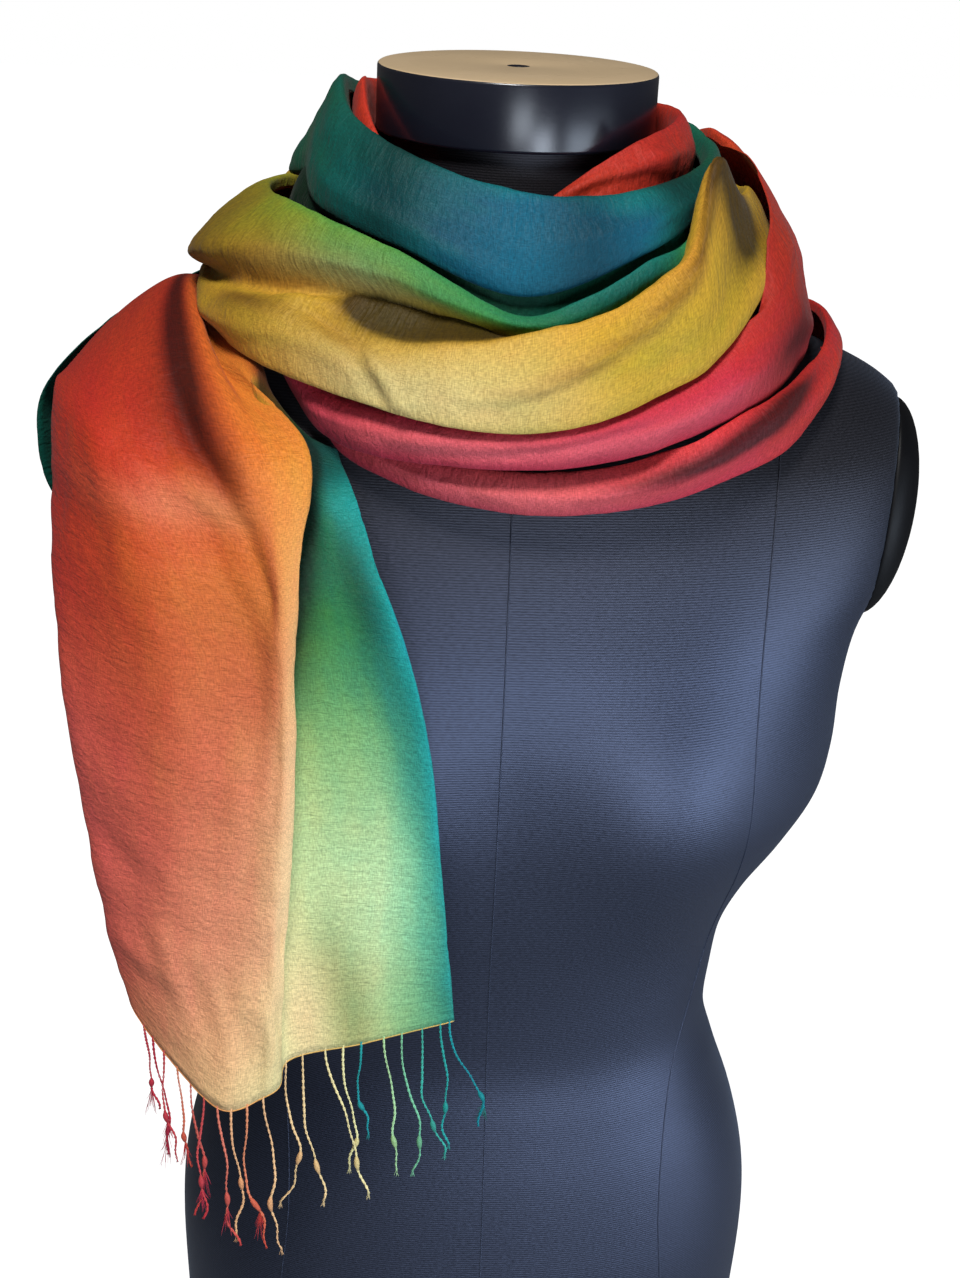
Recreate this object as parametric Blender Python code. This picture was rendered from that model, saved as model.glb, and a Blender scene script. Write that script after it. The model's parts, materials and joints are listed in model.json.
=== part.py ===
"""A long fringed shawl wound round the neck of a limbless dress form.

Metres, +Z up. The origin is the middle of the form's flat underside, under the
neck, and the form faces -Y. Tables are in millimetres. Round the neck an
azimuth of 0 is the front, 90 the viewer's right and -90 the viewer's left.
"""

import math
from collections import namedtuple

import bmesh
import bpy
import numpy as np

MM = 0.001
SHARP_ANGLE = math.radians(40)

# Cloth
CLOTH_WALL = 1.2
SEAM_GAP = 0.3

# Dress form
FORM_SIDES = 36
NECK_TOP = 690.7
ARMHOLE_X = 181.0
ARMHOLE_Z = 522.0
ARMHOLE_LEAN = 0.07
ARMHOLE_TURN = 0.08
BUST_X = 82.0
BUST_Z = 405.0
BUST_OUT = 14.0
BUST_SPREAD_X = 34.0
BUST_SPREAD_Z = 40.0
BUST_FADE = 2.5

# Neck cap
CAP_RADIUS = 62.0
CAP_BOTTOM = 691.0
CAP_TOP = 720.0
CAP_EDGE = 2.0
CAP_HOLE_RADIUS = 5.0
CAP_HOLE_DEPTH = 12.0
CAP_SIDES = 44

# Arm plates
PLATE_SIDES = 28
PLATE_MIDDLE_Y = -2.0
PLATE_HALF_HEIGHT = 54.0
PLATE_HALF_DEPTH = 42.0
PLATE_DOME = 19.0
PLATE_RING_ANGLES = (0, 14, 32, 52, 72)

FormRow = namedtuple("FormRow", "z half_width front back roundness")
FORM_ROWS = [
    FormRow(0, 155, 99, 124, 2.3),
    FormRow(60, 157, 102, 127, 2.3),
    FormRow(124, 154, 104, 119, 2.3),
    FormRow(157, 150, 101, 108, 2.3),
    FormRow(190, 142, 97, 95, 2.3),
    FormRow(222, 130, 92, 84, 2.3),
    FormRow(252, 121, 88, 78, 2.3),
    FormRow(283, 122, 91, 80, 2.3),
    FormRow(313, 126, 97, 83, 2.3),
    FormRow(341, 138, 104, 87, 2.3),
    FormRow(366, 155, 109, 91, 2.3),
    FormRow(388, 167, 112, 93, 2.3),
    FormRow(410, 171, 113, 96, 2.3),
    FormRow(440, 172, 112, 98, 2.3),
    FormRow(470, 177, 107, 100, 2.3),
    FormRow(500, 190, 99, 99, 2.3),
    FormRow(530, 196, 91, 96, 2.3),
    FormRow(556, 196, 84, 90, 2.2),
    FormRow(574, 191, 76, 86, 2.1),
    FormRow(586, 179, 71, 82, 2.0),
    FormRow(597, 158, 66, 78, 2.0),
    FormRow(608, 126, 62, 74, 2.0),
    FormRow(620, 91, 60, 70, 2.0),
    FormRow(634, 69, 59, 65, 2.0),
    FormRow(655, 58, 57, 59, 2.0),
    FormRow(NECK_TOP, 56, 56, 56, 2.0),
]

Turn = namedtuple("Turn", "name rows stations gap_steps inner_tuck under_tuck material")

# Each turn is cut by half planes through the neck's axis. A row gives the wall's
# radius and height at its folds, from the inside over the crest to the lower hem.
InnerRow = namedtuple("InnerRow", "azimuth crest_r crest_z belly_r belly_z hem_r hem_z")
INNER_TURN = [
    InnerRow(-180, 70, 704, 74, 690, 73, 665),
    InnerRow(-120, 70, 708, 74, 694, 73, 668),
    InnerRow(-90, 68, 711, 73, 697, 73, 670),
    InnerRow(-60, 70, 692, 74, 682, 73, 664),
    InnerRow(-30, 69, 662, 73, 655, 73, 643),
    InnerRow(0, 69, 668, 74, 659, 74, 645),
    InnerRow(30, 70, 691, 76, 680, 75, 655),
    InnerRow(60, 72, 701, 80, 688, 76, 665),
    InnerRow(90, 72, 703, 79, 690, 75, 665),
    InnerRow(130, 70, 703, 75, 690, 73, 665),
]

TealRow = namedtuple("TealRow", "azimuth crest_r crest_z belly_r belly_z hem_r hem_z")
TEAL_TURN = [
    TealRow(-180, 80, 699, 88, 684, 88, 662),
    TealRow(-150, 81, 701, 90, 686, 90, 664),
    TealRow(-120, 81, 706, 92, 690, 97, 667),
    TealRow(-105, 79, 711, 90, 692, 104, 667),
    TealRow(-90, 78, 713, 88, 697, 93, 671),
    TealRow(-60, 82, 701, 95, 683, 99, 665),
    TealRow(-30, 84, 689, 96, 673, 101, 656),
    TealRow(0, 84, 679, 96, 661, 100, 641),
    TealRow(30, 86, 679, 97, 669, 100, 657),
    TealRow(60, 88, 686, 97, 681, 98, 673),
    TealRow(90, 86, 692, 93, 684, 93, 670),
    TealRow(120, 82, 697, 90, 684, 90, 664),
    TealRow(150, 80, 698, 88, 684, 88, 662),
]

GoldRow = namedtuple(
    "GoldRow",
    "azimuth crest_r crest_z lobe_r lobe_z groove_r groove_z "
    "top_r top_z belly_r belly_z hem_r hem_z",
)
GOLD_TURN = [
    GoldRow(-180, 97, 678, 97.5, 685, 99, 689, 102, 690, 108, 676, 107, 658),
    GoldRow(-150, 99, 676, 100, 683, 104, 687, 108, 685, 114, 672, 112, 656),
    GoldRow(-120, 107, 662, 112, 663, 117, 661, 122, 656, 132, 644, 133, 632),
    GoldRow(-105, 109, 664, 132, 649, 127, 642, 131, 638, 138, 631, 134, 622),
    GoldRow(-90, 109, 665, 144.5, 635, 134, 628, 136, 626, 140, 623, 134, 618),
    GoldRow(-75, 109, 666, 138, 643, 130, 630, 134, 625, 141, 615, 134, 607),
    GoldRow(-60, 110, 667, 128, 651, 126, 634, 130, 628, 139, 616, 134, 604),
    GoldRow(-45, 110, 663, 120, 650, 115, 634, 123, 630, 133, 616, 130, 600),
    GoldRow(-30, 109, 655, 115, 644, 106, 630, 118, 623, 129, 610, 128, 596),
    GoldRow(-15, 107, 641, 111, 634, 104, 624, 118, 626, 127, 608, 126, 591),
    GoldRow(0, 105, 633, 109, 630, 103, 623, 118, 628, 126, 607, 124, 589),
    GoldRow(15, 106, 642, 109, 636, 104, 627, 118, 637, 125, 614, 124, 592),
    GoldRow(30, 105, 655, 108, 650, 104, 640, 115, 650, 125, 625, 124, 602),
    GoldRow(45, 102, 660, 104, 657, 104, 655, 111, 665, 124, 640, 126, 621),
    GoldRow(60, 99, 660, 101, 666, 103, 673, 107, 680, 118, 656, 125, 643),
    GoldRow(75, 99, 656, 100, 664, 102, 671, 105, 676, 116, 658, 121, 645),
    GoldRow(90, 99, 655, 99, 662, 100, 668, 103, 671, 113, 658, 117, 643),
    GoldRow(120, 98, 664, 98.5, 670, 99, 674, 101, 676, 108, 666, 109, 650),
    GoldRow(150, 98, 674, 98.5, 680, 100, 684, 102, 685, 108, 672, 108, 656),
]

CrimsonRow = namedtuple(
    "CrimsonRow", "azimuth crest_r crest_z top_r top_z belly_r belly_z hem_r hem_z"
)
CRIMSON_TURN = [
    CrimsonRow(-180, 118, 662, 123, 655, 127, 640, 124, 612),
    CrimsonRow(-165, 116, 654, 121, 649, 125, 636, 122, 608),
    CrimsonRow(-150, 113, 646, 119, 642, 123, 630, 120, 608),
    CrimsonRow(-120, 104, 648, 116, 645, 121, 634, 119, 615),
    CrimsonRow(-90, 104, 642, 116, 640, 122, 630, 120, 615),
    CrimsonRow(-60, 108, 618, 117, 616, 121, 609, 118, 600),
    CrimsonRow(-45, 109, 592, 117, 592, 121, 585, 118, 576),
    CrimsonRow(-30, 109, 584, 116, 584, 121, 578, 117, 571),
    CrimsonRow(0, 109, 584, 116, 584, 120, 578, 116, 571),
    CrimsonRow(15, 110, 586, 117, 586, 121, 581, 117, 573),
    CrimsonRow(30, 112, 592, 120, 592, 126, 587, 121, 579),
    CrimsonRow(45, 118, 613, 128, 610, 134, 603, 130, 589),
    CrimsonRow(52, 128.4, 631, 132, 626, 137, 609, 133, 593),
    CrimsonRow(60, 131, 646, 134, 640, 138, 616, 135, 598),
    CrimsonRow(75, 122, 664, 129, 652, 138, 621, 135, 605),
    CrimsonRow(90, 106, 682, 121, 665, 135, 628, 133, 609),
    CrimsonRow(105, 97, 692, 112, 680, 133, 634, 133, 611),
    CrimsonRow(120, 102, 688, 115, 674, 130, 642, 131, 612),
    CrimsonRow(150, 115, 674, 121, 664, 128, 642, 126, 612),
]

LowerRow = namedtuple("LowerRow", "azimuth crest_r crest_z belly_r belly_z hem_r hem_z")
LOWER_TURN = [
    LowerRow(-180, 115, 604, 121, 592, 106, 564),
    LowerRow(-150, 108, 602, 114, 595, 110, 580),
    LowerRow(-120, 97, 632, 107, 626, 109, 612),
    LowerRow(-90, 96, 633, 105, 629, 108, 620),
    LowerRow(-75, 97, 626, 105, 622, 108, 614),
    LowerRow(-60, 100, 613, 108, 609, 111, 602),
    LowerRow(-45, 105, 583, 111, 578, 110, 569),
    LowerRow(-30, 104, 573, 111, 567, 107, 558),
    LowerRow(0, 103, 566, 111, 558, 104, 548),
    LowerRow(15, 106, 567, 114, 558, 107, 548),
    LowerRow(30, 114, 573, 122, 562, 115, 552),
    LowerRow(45, 129, 583, 137, 573, 131, 562),
    LowerRow(60, 141, 595, 148, 584, 143, 572),
    LowerRow(75, 146, 611, 153, 602, 150, 595),
    LowerRow(90, 145, 618, 152, 611, 150, 604),
    LowerRow(105, 138, 615, 148, 609, 146, 601),
    LowerRow(120, 129, 606, 142, 597, 137, 585),
    LowerRow(150, 121, 604, 129, 592, 116, 570),
]

# The front end is a panel folded in three. Its fold lines run from the red edge, turned
# in behind, to the blue edge, turned back. Each starts beneath the turns, behind the
# shoulder at the red side, and then comes over the shoulder.
FoldStart = namedtuple("FoldStart", "name under_x under_y under_z over_x over_y over_z")
FRONT_END_STARTS = [
    FoldStart("turned_in", -98, 84, 597, -200, 30, 557),
    FoldStart("left", -104, 78, 604, -200, 16, 571),
    FoldStart("belly", -115, 60, 611, -183, 12, 597),
    FoldStart("crease", -125, 41, 611, -154, 4, 620),
    FoldStart("ridge", -131, 24, 611, -144, 6, 620.5),
    FoldStart("face", -127, 7, 612, -134.5, -33, 600.5),
    FoldStart("fold", -112, -64, 600, -121, -71, 598),
    FoldStart("tuck", -107, -72, 590, -113, -82, 582),
    FoldStart("valley", -88, -82, 573, -88, -87, 567),
    FoldStart("right", -76, -82, 567, -74, -85, 562),
    FoldStart("turned_back", -90, -76, 566, -90, -79, 560),
]

# Below the shoulder: the front layer's place in depth, each fold line's place across, and
# how much lower the layers behind it lie.
EndRow = namedtuple(
    "EndRow",
    "z front_y left_x left_back crease_x crease_in ridge_x fold_x tuck_x valley_x "
    "right_x back_x layer behind_drop",
)
FRONT_END_ROWS = [
    EndRow(577, -118, -202, 94, -146, 13, -120, -93, -116, -84, -68, -98, 4, 22),
    EndRow(540, -146, -200, 84, -122, 10, -104, -88, -118, -76, -58, -100, 5, 8),
    EndRow(500, -158, -195, 58, -104, 5, -94, -85, -114, -66, -45, -100, 5, 0),
    EndRow(455, -163, -187, 36, -104, 2, -96, -88, -114, -56, -34, -98, 5, 0),
    EndRow(405, -163, -179, 28, -110, 2, -101, -94, -112, -52, -28, -98, 5, 0),
    EndRow(360, -161, -171, 22, -116, 0, -106, -98, -104, -54, -23, -96, 4.5, 0),
    EndRow(312, -159, -163, 18, -119, -4, -107, -98, -91, -58, -19, -94, 4, 0),
]
# The hem runs below and above the last row at each fold line.
HEM_RISE = {
    "turned_in": 22,
    "left": 20,
    "belly": -9,
    "crease": -26,
    "ridge": -22,
    "face": -19,
    "fold": -16,
    "tuck": -8,
    "valley": 0,
    "right": 12,
    "turned_back": -14,
}
FRONT_END_ROW_STEPS = (3, 3, 3, 2, 2, 2, 2, 2)
FRONT_END_GAP_STEPS = (2, 4, 3, 2, 2, 2, 2, 3, 3, 3)
TURNED_IN_X = 14.0
TURNED_IN_Y = 12.0
BELLY_BACK_SHARE = 0.2
FACE_OUT = 1.0
# How many layers behind the front one each fold lies.
FOLD_LAYER = 0.6
TUCK_LAYER = 1.8
VALLEY_LAYER = 2.8
TURNED_BACK_LAYER = 4.4

# The back end hangs from under the turns, over the back of the same shoulder.
BackRow = namedtuple("BackRow", "z outer_x outer_y corner_x corner_y middle_y inner_x inner_y wave")
BACK_END_ROWS = [
    BackRow(616, -142, 46, -132, 56, 74, -92, 95, 0),
    BackRow(603, -168, 44, -158, 58, 79, -90, 97, 1),
    BackRow(588, -192, 31, -184, 50, 84, -84, 99, 2),
    BackRow(555, -219, 32, -198, 68, 94, -66, 99, 4),
    BackRow(515, -219, 36, -196, 82, 104, -52, 98, 4),
    BackRow(470, -201, 60, -178, 94, 107, -46, 99.5, 4),
    BackRow(420, -186, 80, -160, 101, 108, -44, 103, 5),
    BackRow(370, -172, 92, -148, 104, 107, -44, 105, 5),
    BackRow(300, -160, 96, -140, 103, 105, -46, 103, 5),
]
BACK_END_WAVES = 6
BACK_END_ROW_STEPS = (1, 2, 2, 2, 2, 2, 2, 2)
BACK_END_GAP_STEPS = 2

# Fringe
FRONT_STRIP_DROP = 1.2
BACK_STRIP_DROP = 0.35
STRIP_HEIGHT = 1.6
CORD_SPACING = 10.5
CORD_WIDTH = 1.6
CORD_LENGTH = 66.0
CORD_STEPS = 4
# Each cord is a little longer or shorter than the last, and sways otherwise.
LENGTH_CHANGE = 0.1
LENGTH_TURN = 3.1
SWAY = 2.2
SWAY_TURN = 2.4
SWAY_BEND = 5.5
DEPTH_SWAY = 1.1
DEPTH_TURN = 1.7
DEPTH_BEND = 4.0


def clear_scene():
    for thing in list(bpy.data.objects):
        bpy.data.objects.remove(thing)


def finish_material(name, colour, roughness, metallic=0.0):
    material = bpy.data.materials.new(name)
    material.use_nodes = True
    shader = material.node_tree.nodes["Principled BSDF"]
    shader.inputs["Base Color"].default_value = (*colour, 1.0)
    shader.inputs["Roughness"].default_value = roughness
    shader.inputs["Metallic"].default_value = metallic
    return material


def finish_object(name, mesh, material):
    """An object of this mesh, shaded smooth but for its sharp edges."""
    mesh.materials.append(material)
    mesh.shade_smooth()
    mesh.set_sharp_from_angle(angle=SHARP_ANGLE)
    thing = bpy.data.objects.new(name, mesh)
    bpy.context.scene.collection.objects.link(thing)
    return thing


def add_object(name, points, faces, material):
    """An object from points in millimetres."""
    mesh = bpy.data.meshes.new(name)
    mesh.from_pydata([tuple(float(c) * MM for c in point) for point in points], [], faces)
    return finish_object(name, mesh, material)


def object_from_bmesh(name, shape, material):
    mesh = bpy.data.meshes.new(name)
    shape.to_mesh(mesh)
    shape.free()
    return finish_object(name, mesh, material)


def spline(points, steps):
    """A centripetal Catmull-Rom curve, with so many steps from each given point to the next."""
    points = np.asarray(points, float)
    gaps = len(points) - 1
    steps = (steps,) * gaps if isinstance(steps, int) else steps
    before = 2 * points[0] - points[1]
    after = 2 * points[-1] - points[-2]
    line = np.vstack([[before], points, [after]])
    curve = []
    for corners, count in zip(zip(line, line[1:], line[2:], line[3:]), steps):
        knots = [0.0]
        for p, q in zip(corners, corners[1:]):
            knots.append(knots[-1] + max(np.linalg.norm(q - p), 1e-6) ** 0.5)
        for i in range(count):
            t = knots[1] + (knots[2] - knots[1]) * i / count
            level = corners
            for reach in (1, 2):
                spans = zip(level, level[1:], knots, knots[reach:])
                level = [p + (q - p) * (t - a) / (b - a) for p, q, a, b in spans]
            share = (t - knots[1]) / (knots[2] - knots[1])
            curve.append(level[0] + (level[1] - level[0]) * share)
    curve.append(points[-1])
    return np.array(curve)


def smooth_between(stations, values, wanted):
    """Values at the wanted stations, on a smooth curve through the given ones."""
    slopes = np.gradient(values, stations, axis=0)
    place = np.clip(np.searchsorted(stations, wanted, "right") - 1, 0, len(stations) - 2)
    width = (stations[place + 1] - stations[place])[:, None]
    t = (wanted - stations[place])[:, None] / width
    start = values[place] * (2 * t**3 - 3 * t**2 + 1) + slopes[place] * width * (t**3 - 2 * t**2 + t)
    end = values[place + 1] * (3 * t**2 - 2 * t**3) + slopes[place + 1] * width * (t**3 - t**2)
    return start + end


def turn_grid(rows, stations, gap_steps, inner_tuck, under_tuck):
    """Points of a turn's wall, an array of azimuths by places across.

    A tuck says how far in radius and height the wall's hidden edge lies from its last fold.
    """
    table = np.array(rows, float)
    given = np.concatenate([table[-2:, 0] - 360, table[:, 0], table[:2, 0] + 360])
    values = np.vstack([table[-2:, 1:], table[:, 1:], table[:2, 1:]])
    azimuths = np.linspace(-180, 180, stations, endpoint=False)
    sections = smooth_between(given, values, azimuths).reshape(stations, -1, 2)
    grid = []
    for azimuth, folds in zip(np.radians(azimuths), sections):
        inner = folds[0] + inner_tuck
        under = folds[-1] + under_tuck
        radii, heights = spline(np.vstack([[inner], folds, [under]]), gap_steps).T
        grid.append(np.stack([radii * math.sin(azimuth), -radii * math.cos(azimuth), heights], 1))
    return np.array(grid)


def cloth_wall(name, grid, material, closed=False):
    """A sheet through the grid's points, given its thickness by a Solidify modifier."""
    along, across = grid.shape[:2]
    faces = []
    for i in range(along if closed else along - 1):
        after = (i + 1) % along
        for j in range(across - 1):
            near = i * across + j
            far = after * across + j
            faces.append((near, near + 1, far + 1, far))
    thing = add_object(name, grid.reshape(-1, 3), faces, material)
    solidify = thing.modifiers.new("wall", "SOLIDIFY")
    solidify.thickness = CLOTH_WALL * MM
    solidify.offset = 0.0
    return thing


def front_end_grid():
    """Points of the front end's wall, an array of stations down by places across."""
    stations = [
        [(start.under_x, start.under_y, start.under_z) for start in FRONT_END_STARTS],
        [(start.over_x, start.over_y, start.over_z) for start in FRONT_END_STARTS],
    ]
    for row in FRONT_END_ROWS:
        belly_x = 0.5 * (row.left_x + row.crease_x)
        left_y = row.front_y + row.left_back
        low_z = row.z - row.behind_drop
        places = {
            "turned_in": (row.left_x + TURNED_IN_X, left_y + TURNED_IN_Y, row.z),
            "left": (row.left_x, left_y, row.z),
            "belly": (belly_x, row.front_y + BELLY_BACK_SHARE * row.left_back, row.z),
            "crease": (row.crease_x, row.front_y + row.crease_in, row.z),
            "ridge": (row.ridge_x, row.front_y - FACE_OUT, row.z),
            "face": (0.5 * (row.ridge_x + row.fold_x), row.front_y - FACE_OUT, row.z),
            "fold": (row.fold_x, row.front_y + FOLD_LAYER * row.layer, row.z),
            "tuck": (row.tuck_x, row.front_y + TUCK_LAYER * row.layer, 0.5 * (row.z + low_z)),
            "valley": (row.valley_x, row.front_y + VALLEY_LAYER * row.layer, low_z),
            "right": (row.right_x, row.front_y + VALLEY_LAYER * row.layer, low_z),
            "turned_back": (row.back_x, row.front_y + TURNED_BACK_LAYER * row.layer, low_z),
        }
        stations.append(list(places.values()))
    for fold, rise in enumerate(HEM_RISE.values()):
        x, y, z = stations[-1][fold]
        stations[-1][fold] = (x, y, z + rise)
    folds = np.array(stations, float)
    lines = np.stack([spline(folds[:, k], FRONT_END_ROW_STEPS) for k in range(folds.shape[1])], 1)
    return np.array([spline(line, FRONT_END_GAP_STEPS) for line in lines])


def back_end_grid():
    """Points of the back end's wall, in waves as wide as a sixth of its flat part."""
    stations = []
    for row in BACK_END_ROWS:
        span = row.inner_x - row.corner_x
        points = [(row.outer_x, row.outer_y), (row.corner_x, row.corner_y)]
        for number in range(1, BACK_END_WAVES):
            share = number / BACK_END_WAVES
            depth = np.interp(share, (0, 0.5, 1), (row.corner_y, row.middle_y, row.inner_y))
            points.append((row.corner_x + span * share, depth + row.wave * (-1) ** number))
        points.append((row.inner_x, row.inner_y))
        stations.append([(x, y, row.z) for x, y in points])
    folds = np.array(stations, float)
    lines = np.stack([spline(folds[:, k], BACK_END_ROW_STEPS) for k in range(folds.shape[1])], 1)
    return np.array([spline(line, BACK_END_GAP_STEPS) for line in lines])


def armhole_x(y, z):
    """The half width at which the flat armhole cuts the form."""
    return ARMHOLE_X + ARMHOLE_LEAN * (z - ARMHOLE_Z) + ARMHOLE_TURN * y


def bust(x, z):
    spread = ((abs(x) - BUST_X) / BUST_SPREAD_X) ** 2 + ((z - BUST_Z) / BUST_SPREAD_Z) ** 2
    return BUST_OUT * math.exp(-0.5 * spread)


def oval(half_width, front, back, roundness, angle):
    """A point of a superellipse whose front and back differ in depth."""
    c, s = math.cos(angle), math.sin(angle)
    depth = back if s > 0 else front
    x = half_width * math.copysign(abs(c) ** (2 / roundness), c)
    y = depth * math.copysign(abs(s) ** (2 / roundness), s)
    return x, y


def ring_faces(rings, sides):
    """Faces of stacked closed rings, lowest first, with both ends shut."""
    faces = []
    for i in range(rings - 1):
        low, high = i * sides, (i + 1) * sides
        for k in range(sides):
            after = (k + 1) % sides
            faces.append((low + k, low + after, high + after, high + k))
    faces.append(tuple(reversed(range(sides))))
    faces.append(tuple(range((rings - 1) * sides, rings * sides)))
    return faces


def build_form(material):
    """The jersey-covered body, with flat armholes and a flat underside."""
    points = []
    for row in FORM_ROWS:
        for k in range(FORM_SIDES):
            angle = 2 * math.pi * (k + 0.5) / FORM_SIDES
            x, y = oval(row.half_width, row.front, row.back, row.roundness, angle)
            front_share = max(0.0, -y / row.front)
            y -= bust(x, row.z) * min(1.0, BUST_FADE * front_share)
            limit = armhole_x(y, row.z)
            points.append((max(-limit, min(limit, x)), y, row.z))
    return add_object("dress_form", points, ring_faces(len(FORM_ROWS), FORM_SIDES), material)


def build_cap(material):
    """The turned neck cap, with the small threaded hole in its top."""
    profile = [
        (0, CAP_BOTTOM),
        (CAP_RADIUS - CAP_EDGE, CAP_BOTTOM),
        (CAP_RADIUS, CAP_BOTTOM + CAP_EDGE),
        (CAP_RADIUS, CAP_TOP - CAP_EDGE),
        (CAP_RADIUS - CAP_EDGE, CAP_TOP),
        (CAP_HOLE_RADIUS, CAP_TOP),
        (CAP_HOLE_RADIUS, CAP_TOP - CAP_HOLE_DEPTH),
        (0, CAP_TOP - CAP_HOLE_DEPTH),
    ]
    mesh = bmesh.new()
    line = [mesh.verts.new((r * MM, 0, z * MM)) for r, z in profile]
    edges = [mesh.edges.new(pair) for pair in zip(line, line[1:])]
    bmesh.ops.spin(
        mesh,
        geom=line + edges,
        cent=(0, 0, 0),
        axis=(0, 0, 1),
        angle=2 * math.pi,
        steps=CAP_SIDES,
    )
    bmesh.ops.remove_doubles(mesh, verts=mesh.verts, dist=1e-5)
    bmesh.ops.recalc_face_normals(mesh, faces=mesh.faces)
    return object_from_bmesh("neck_cap", mesh, material)


def build_arm_plate(name, side, material):
    """A domed oval plate on the flat armhole."""
    points = []
    for ring_angle in map(math.radians, PLATE_RING_ANGLES):
        for k in range(PLATE_SIDES):
            angle = 2 * math.pi * k / PLATE_SIDES
            y = PLATE_MIDDLE_Y + PLATE_HALF_DEPTH * math.cos(ring_angle) * math.cos(angle)
            z = ARMHOLE_Z + PLATE_HALF_HEIGHT * math.cos(ring_angle) * math.sin(angle)
            x = armhole_x(y, z) + SEAM_GAP + PLATE_DOME * math.sin(ring_angle)
            points.append((side * x, y, z))
    faces = ring_faces(len(PLATE_RING_ANGLES), PLATE_SIDES)
    if side < 0:
        faces = [tuple(reversed(face)) for face in faces]
    return add_object(name, points, faces, material)


def cord_points(root, number):
    """A hanging cord's middle line, which sways in its own way for each number."""
    points = []
    length = CORD_LENGTH * (1.0 + LENGTH_CHANGE * math.sin(LENGTH_TURN * number))
    side_start = SWAY_TURN * number
    depth_start = DEPTH_TURN * number
    for step in range(1, CORD_STEPS + 1):
        share = step / CORD_STEPS
        side = SWAY * (math.sin(side_start + SWAY_BEND * share) - math.sin(side_start))
        depth = DEPTH_SWAY * (math.sin(depth_start + DEPTH_BEND * share) - math.sin(depth_start))
        points.append(root + (side, depth, -length * share))
    return points


def strip_stations(run):
    """Distances along a strip of this run, and whether a cord hangs between each and the next."""
    cords = int((run - CORD_WIDTH) / CORD_SPACING)
    margin = 0.5 * (run - cords * CORD_SPACING)
    distances, holds_cord = [0.0], [False]
    for k in range(cords + 1):
        middle = margin + k * CORD_SPACING
        distances += [middle - CORD_WIDTH / 2, middle + CORD_WIDTH / 2]
        holds_cord += [True, False]
    return distances + [run], holds_cord


def build_fringe(name, hem, drop, material):
    """A narrow strip just under a hem, with a four-sided cord from each cord place in it."""
    run = np.concatenate([[0], np.cumsum(np.linalg.norm(np.diff(hem, axis=0), axis=1))])
    distances, holds_cord = strip_stations(run[-1])
    places = np.stack([np.interp(distances, run, hem[:, k]) for k in range(3)], 1)
    points, faces = [], []
    for place, heading in zip(places, np.gradient(places, axis=0)):
        side = np.array([-heading[1], heading[0], 0.0])
        side *= 0.5 * CLOTH_WALL / np.linalg.norm(side)
        top = place - (0, 0, drop)
        low = top - (0, 0, STRIP_HEIGHT)
        points += [top - side, top + side, low + side, low - side]
    for k, has_cord in enumerate(holds_cord):
        a, b = 4 * k, 4 * k + 4
        faces += [(a, a + 1, b + 1, b), (a + 1, a + 2, b + 2, b + 1), (a + 3, a, b, b + 3)]
        ring = (a + 2, a + 3, b + 3, b + 2)
        if has_cord:
            root = sum(points[corner] for corner in ring) / 4
            corners = [(points[corner] - root) * (1, 1, 0) for corner in ring]
            for place in cord_points(root, k):
                first = len(points)
                points += [place + corner for corner in corners]
                below = (first, first + 1, first + 2, first + 3)
                faces += [
                    (ring[i], ring[(i + 1) % 4], below[(i + 1) % 4], below[i]) for i in range(4)
                ]
                ring = below
        faces.append(ring)
    last = 4 * len(holds_cord)
    faces += [(0, 3, 2, 1), (last, last + 1, last + 2, last + 3)]
    mesh = bmesh.new()
    corners = [mesh.verts.new(tuple(MM * float(c) for c in point)) for point in points]
    for face in faces:
        mesh.faces.new([corners[index] for index in face])
    bmesh.ops.recalc_face_normals(mesh, faces=mesh.faces)
    return object_from_bmesh(name, mesh, material)


def main():
    clear_scene()
    jersey = finish_material("black_jersey", (0.035, 0.038, 0.05), 0.6)
    enamel = finish_material("black_enamel", (0.03, 0.032, 0.045), 0.3)
    red = finish_material("red_cloth", (0.5, 0.045, 0.03), 0.6)
    teal = finish_material("teal_cloth", (0.02, 0.14, 0.2), 0.6)
    gold = finish_material("gold_cloth", (0.6, 0.4, 0.07), 0.6)
    crimson = finish_material("crimson_cloth", (0.5, 0.04, 0.06), 0.6)
    orange = finish_material("orange_cloth", (0.6, 0.16, 0.05), 0.6)
    green = finish_material("green_cloth", (0.02, 0.1, 0.06), 0.6)

    build_form(jersey)
    build_cap(enamel)
    build_arm_plate("arm_plate_left", -1, enamel)
    build_arm_plate("arm_plate_right", 1, enamel)

    for turn in (
        Turn("shawl_inner_turn", INNER_TURN, 36, (1, 2, 2, 1), (-6, -24), (-2, -8), red),
        Turn("shawl_teal_turn", TEAL_TURN, 44, (1, 2, 3, 1), (-4.2, -8), (-6, -2), teal),
        Turn("shawl_gold_turn", GOLD_TURN, 50, (1, 2, 2, 1, 2, 2, 1), (-0.5, -6), (-4, 1.5), gold),
        Turn("shawl_crimson_turn", CRIMSON_TURN, 48, (1, 2, 2, 2, 1), (-1, -4), (-5, 1), crimson),
        Turn("shawl_lower_turn", LOWER_TURN, 46, (1, 3, 2, 1), (-1, -4), (-5, 1), crimson),
    ):
        grid = turn_grid(turn.rows, turn.stations, turn.gap_steps, turn.inner_tuck, turn.under_tuck)
        cloth_wall(turn.name, grid, turn.material, closed=True)

    front_end = front_end_grid()
    cloth_wall("shawl_front_end", front_end, orange)
    back_end = back_end_grid()
    cloth_wall("shawl_back_end", back_end, green)

    build_fringe("fringe_front", front_end[-1], FRONT_STRIP_DROP, orange)
    build_fringe("fringe_back", back_end[-1], BACK_STRIP_DROP, green)


main()
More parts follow.
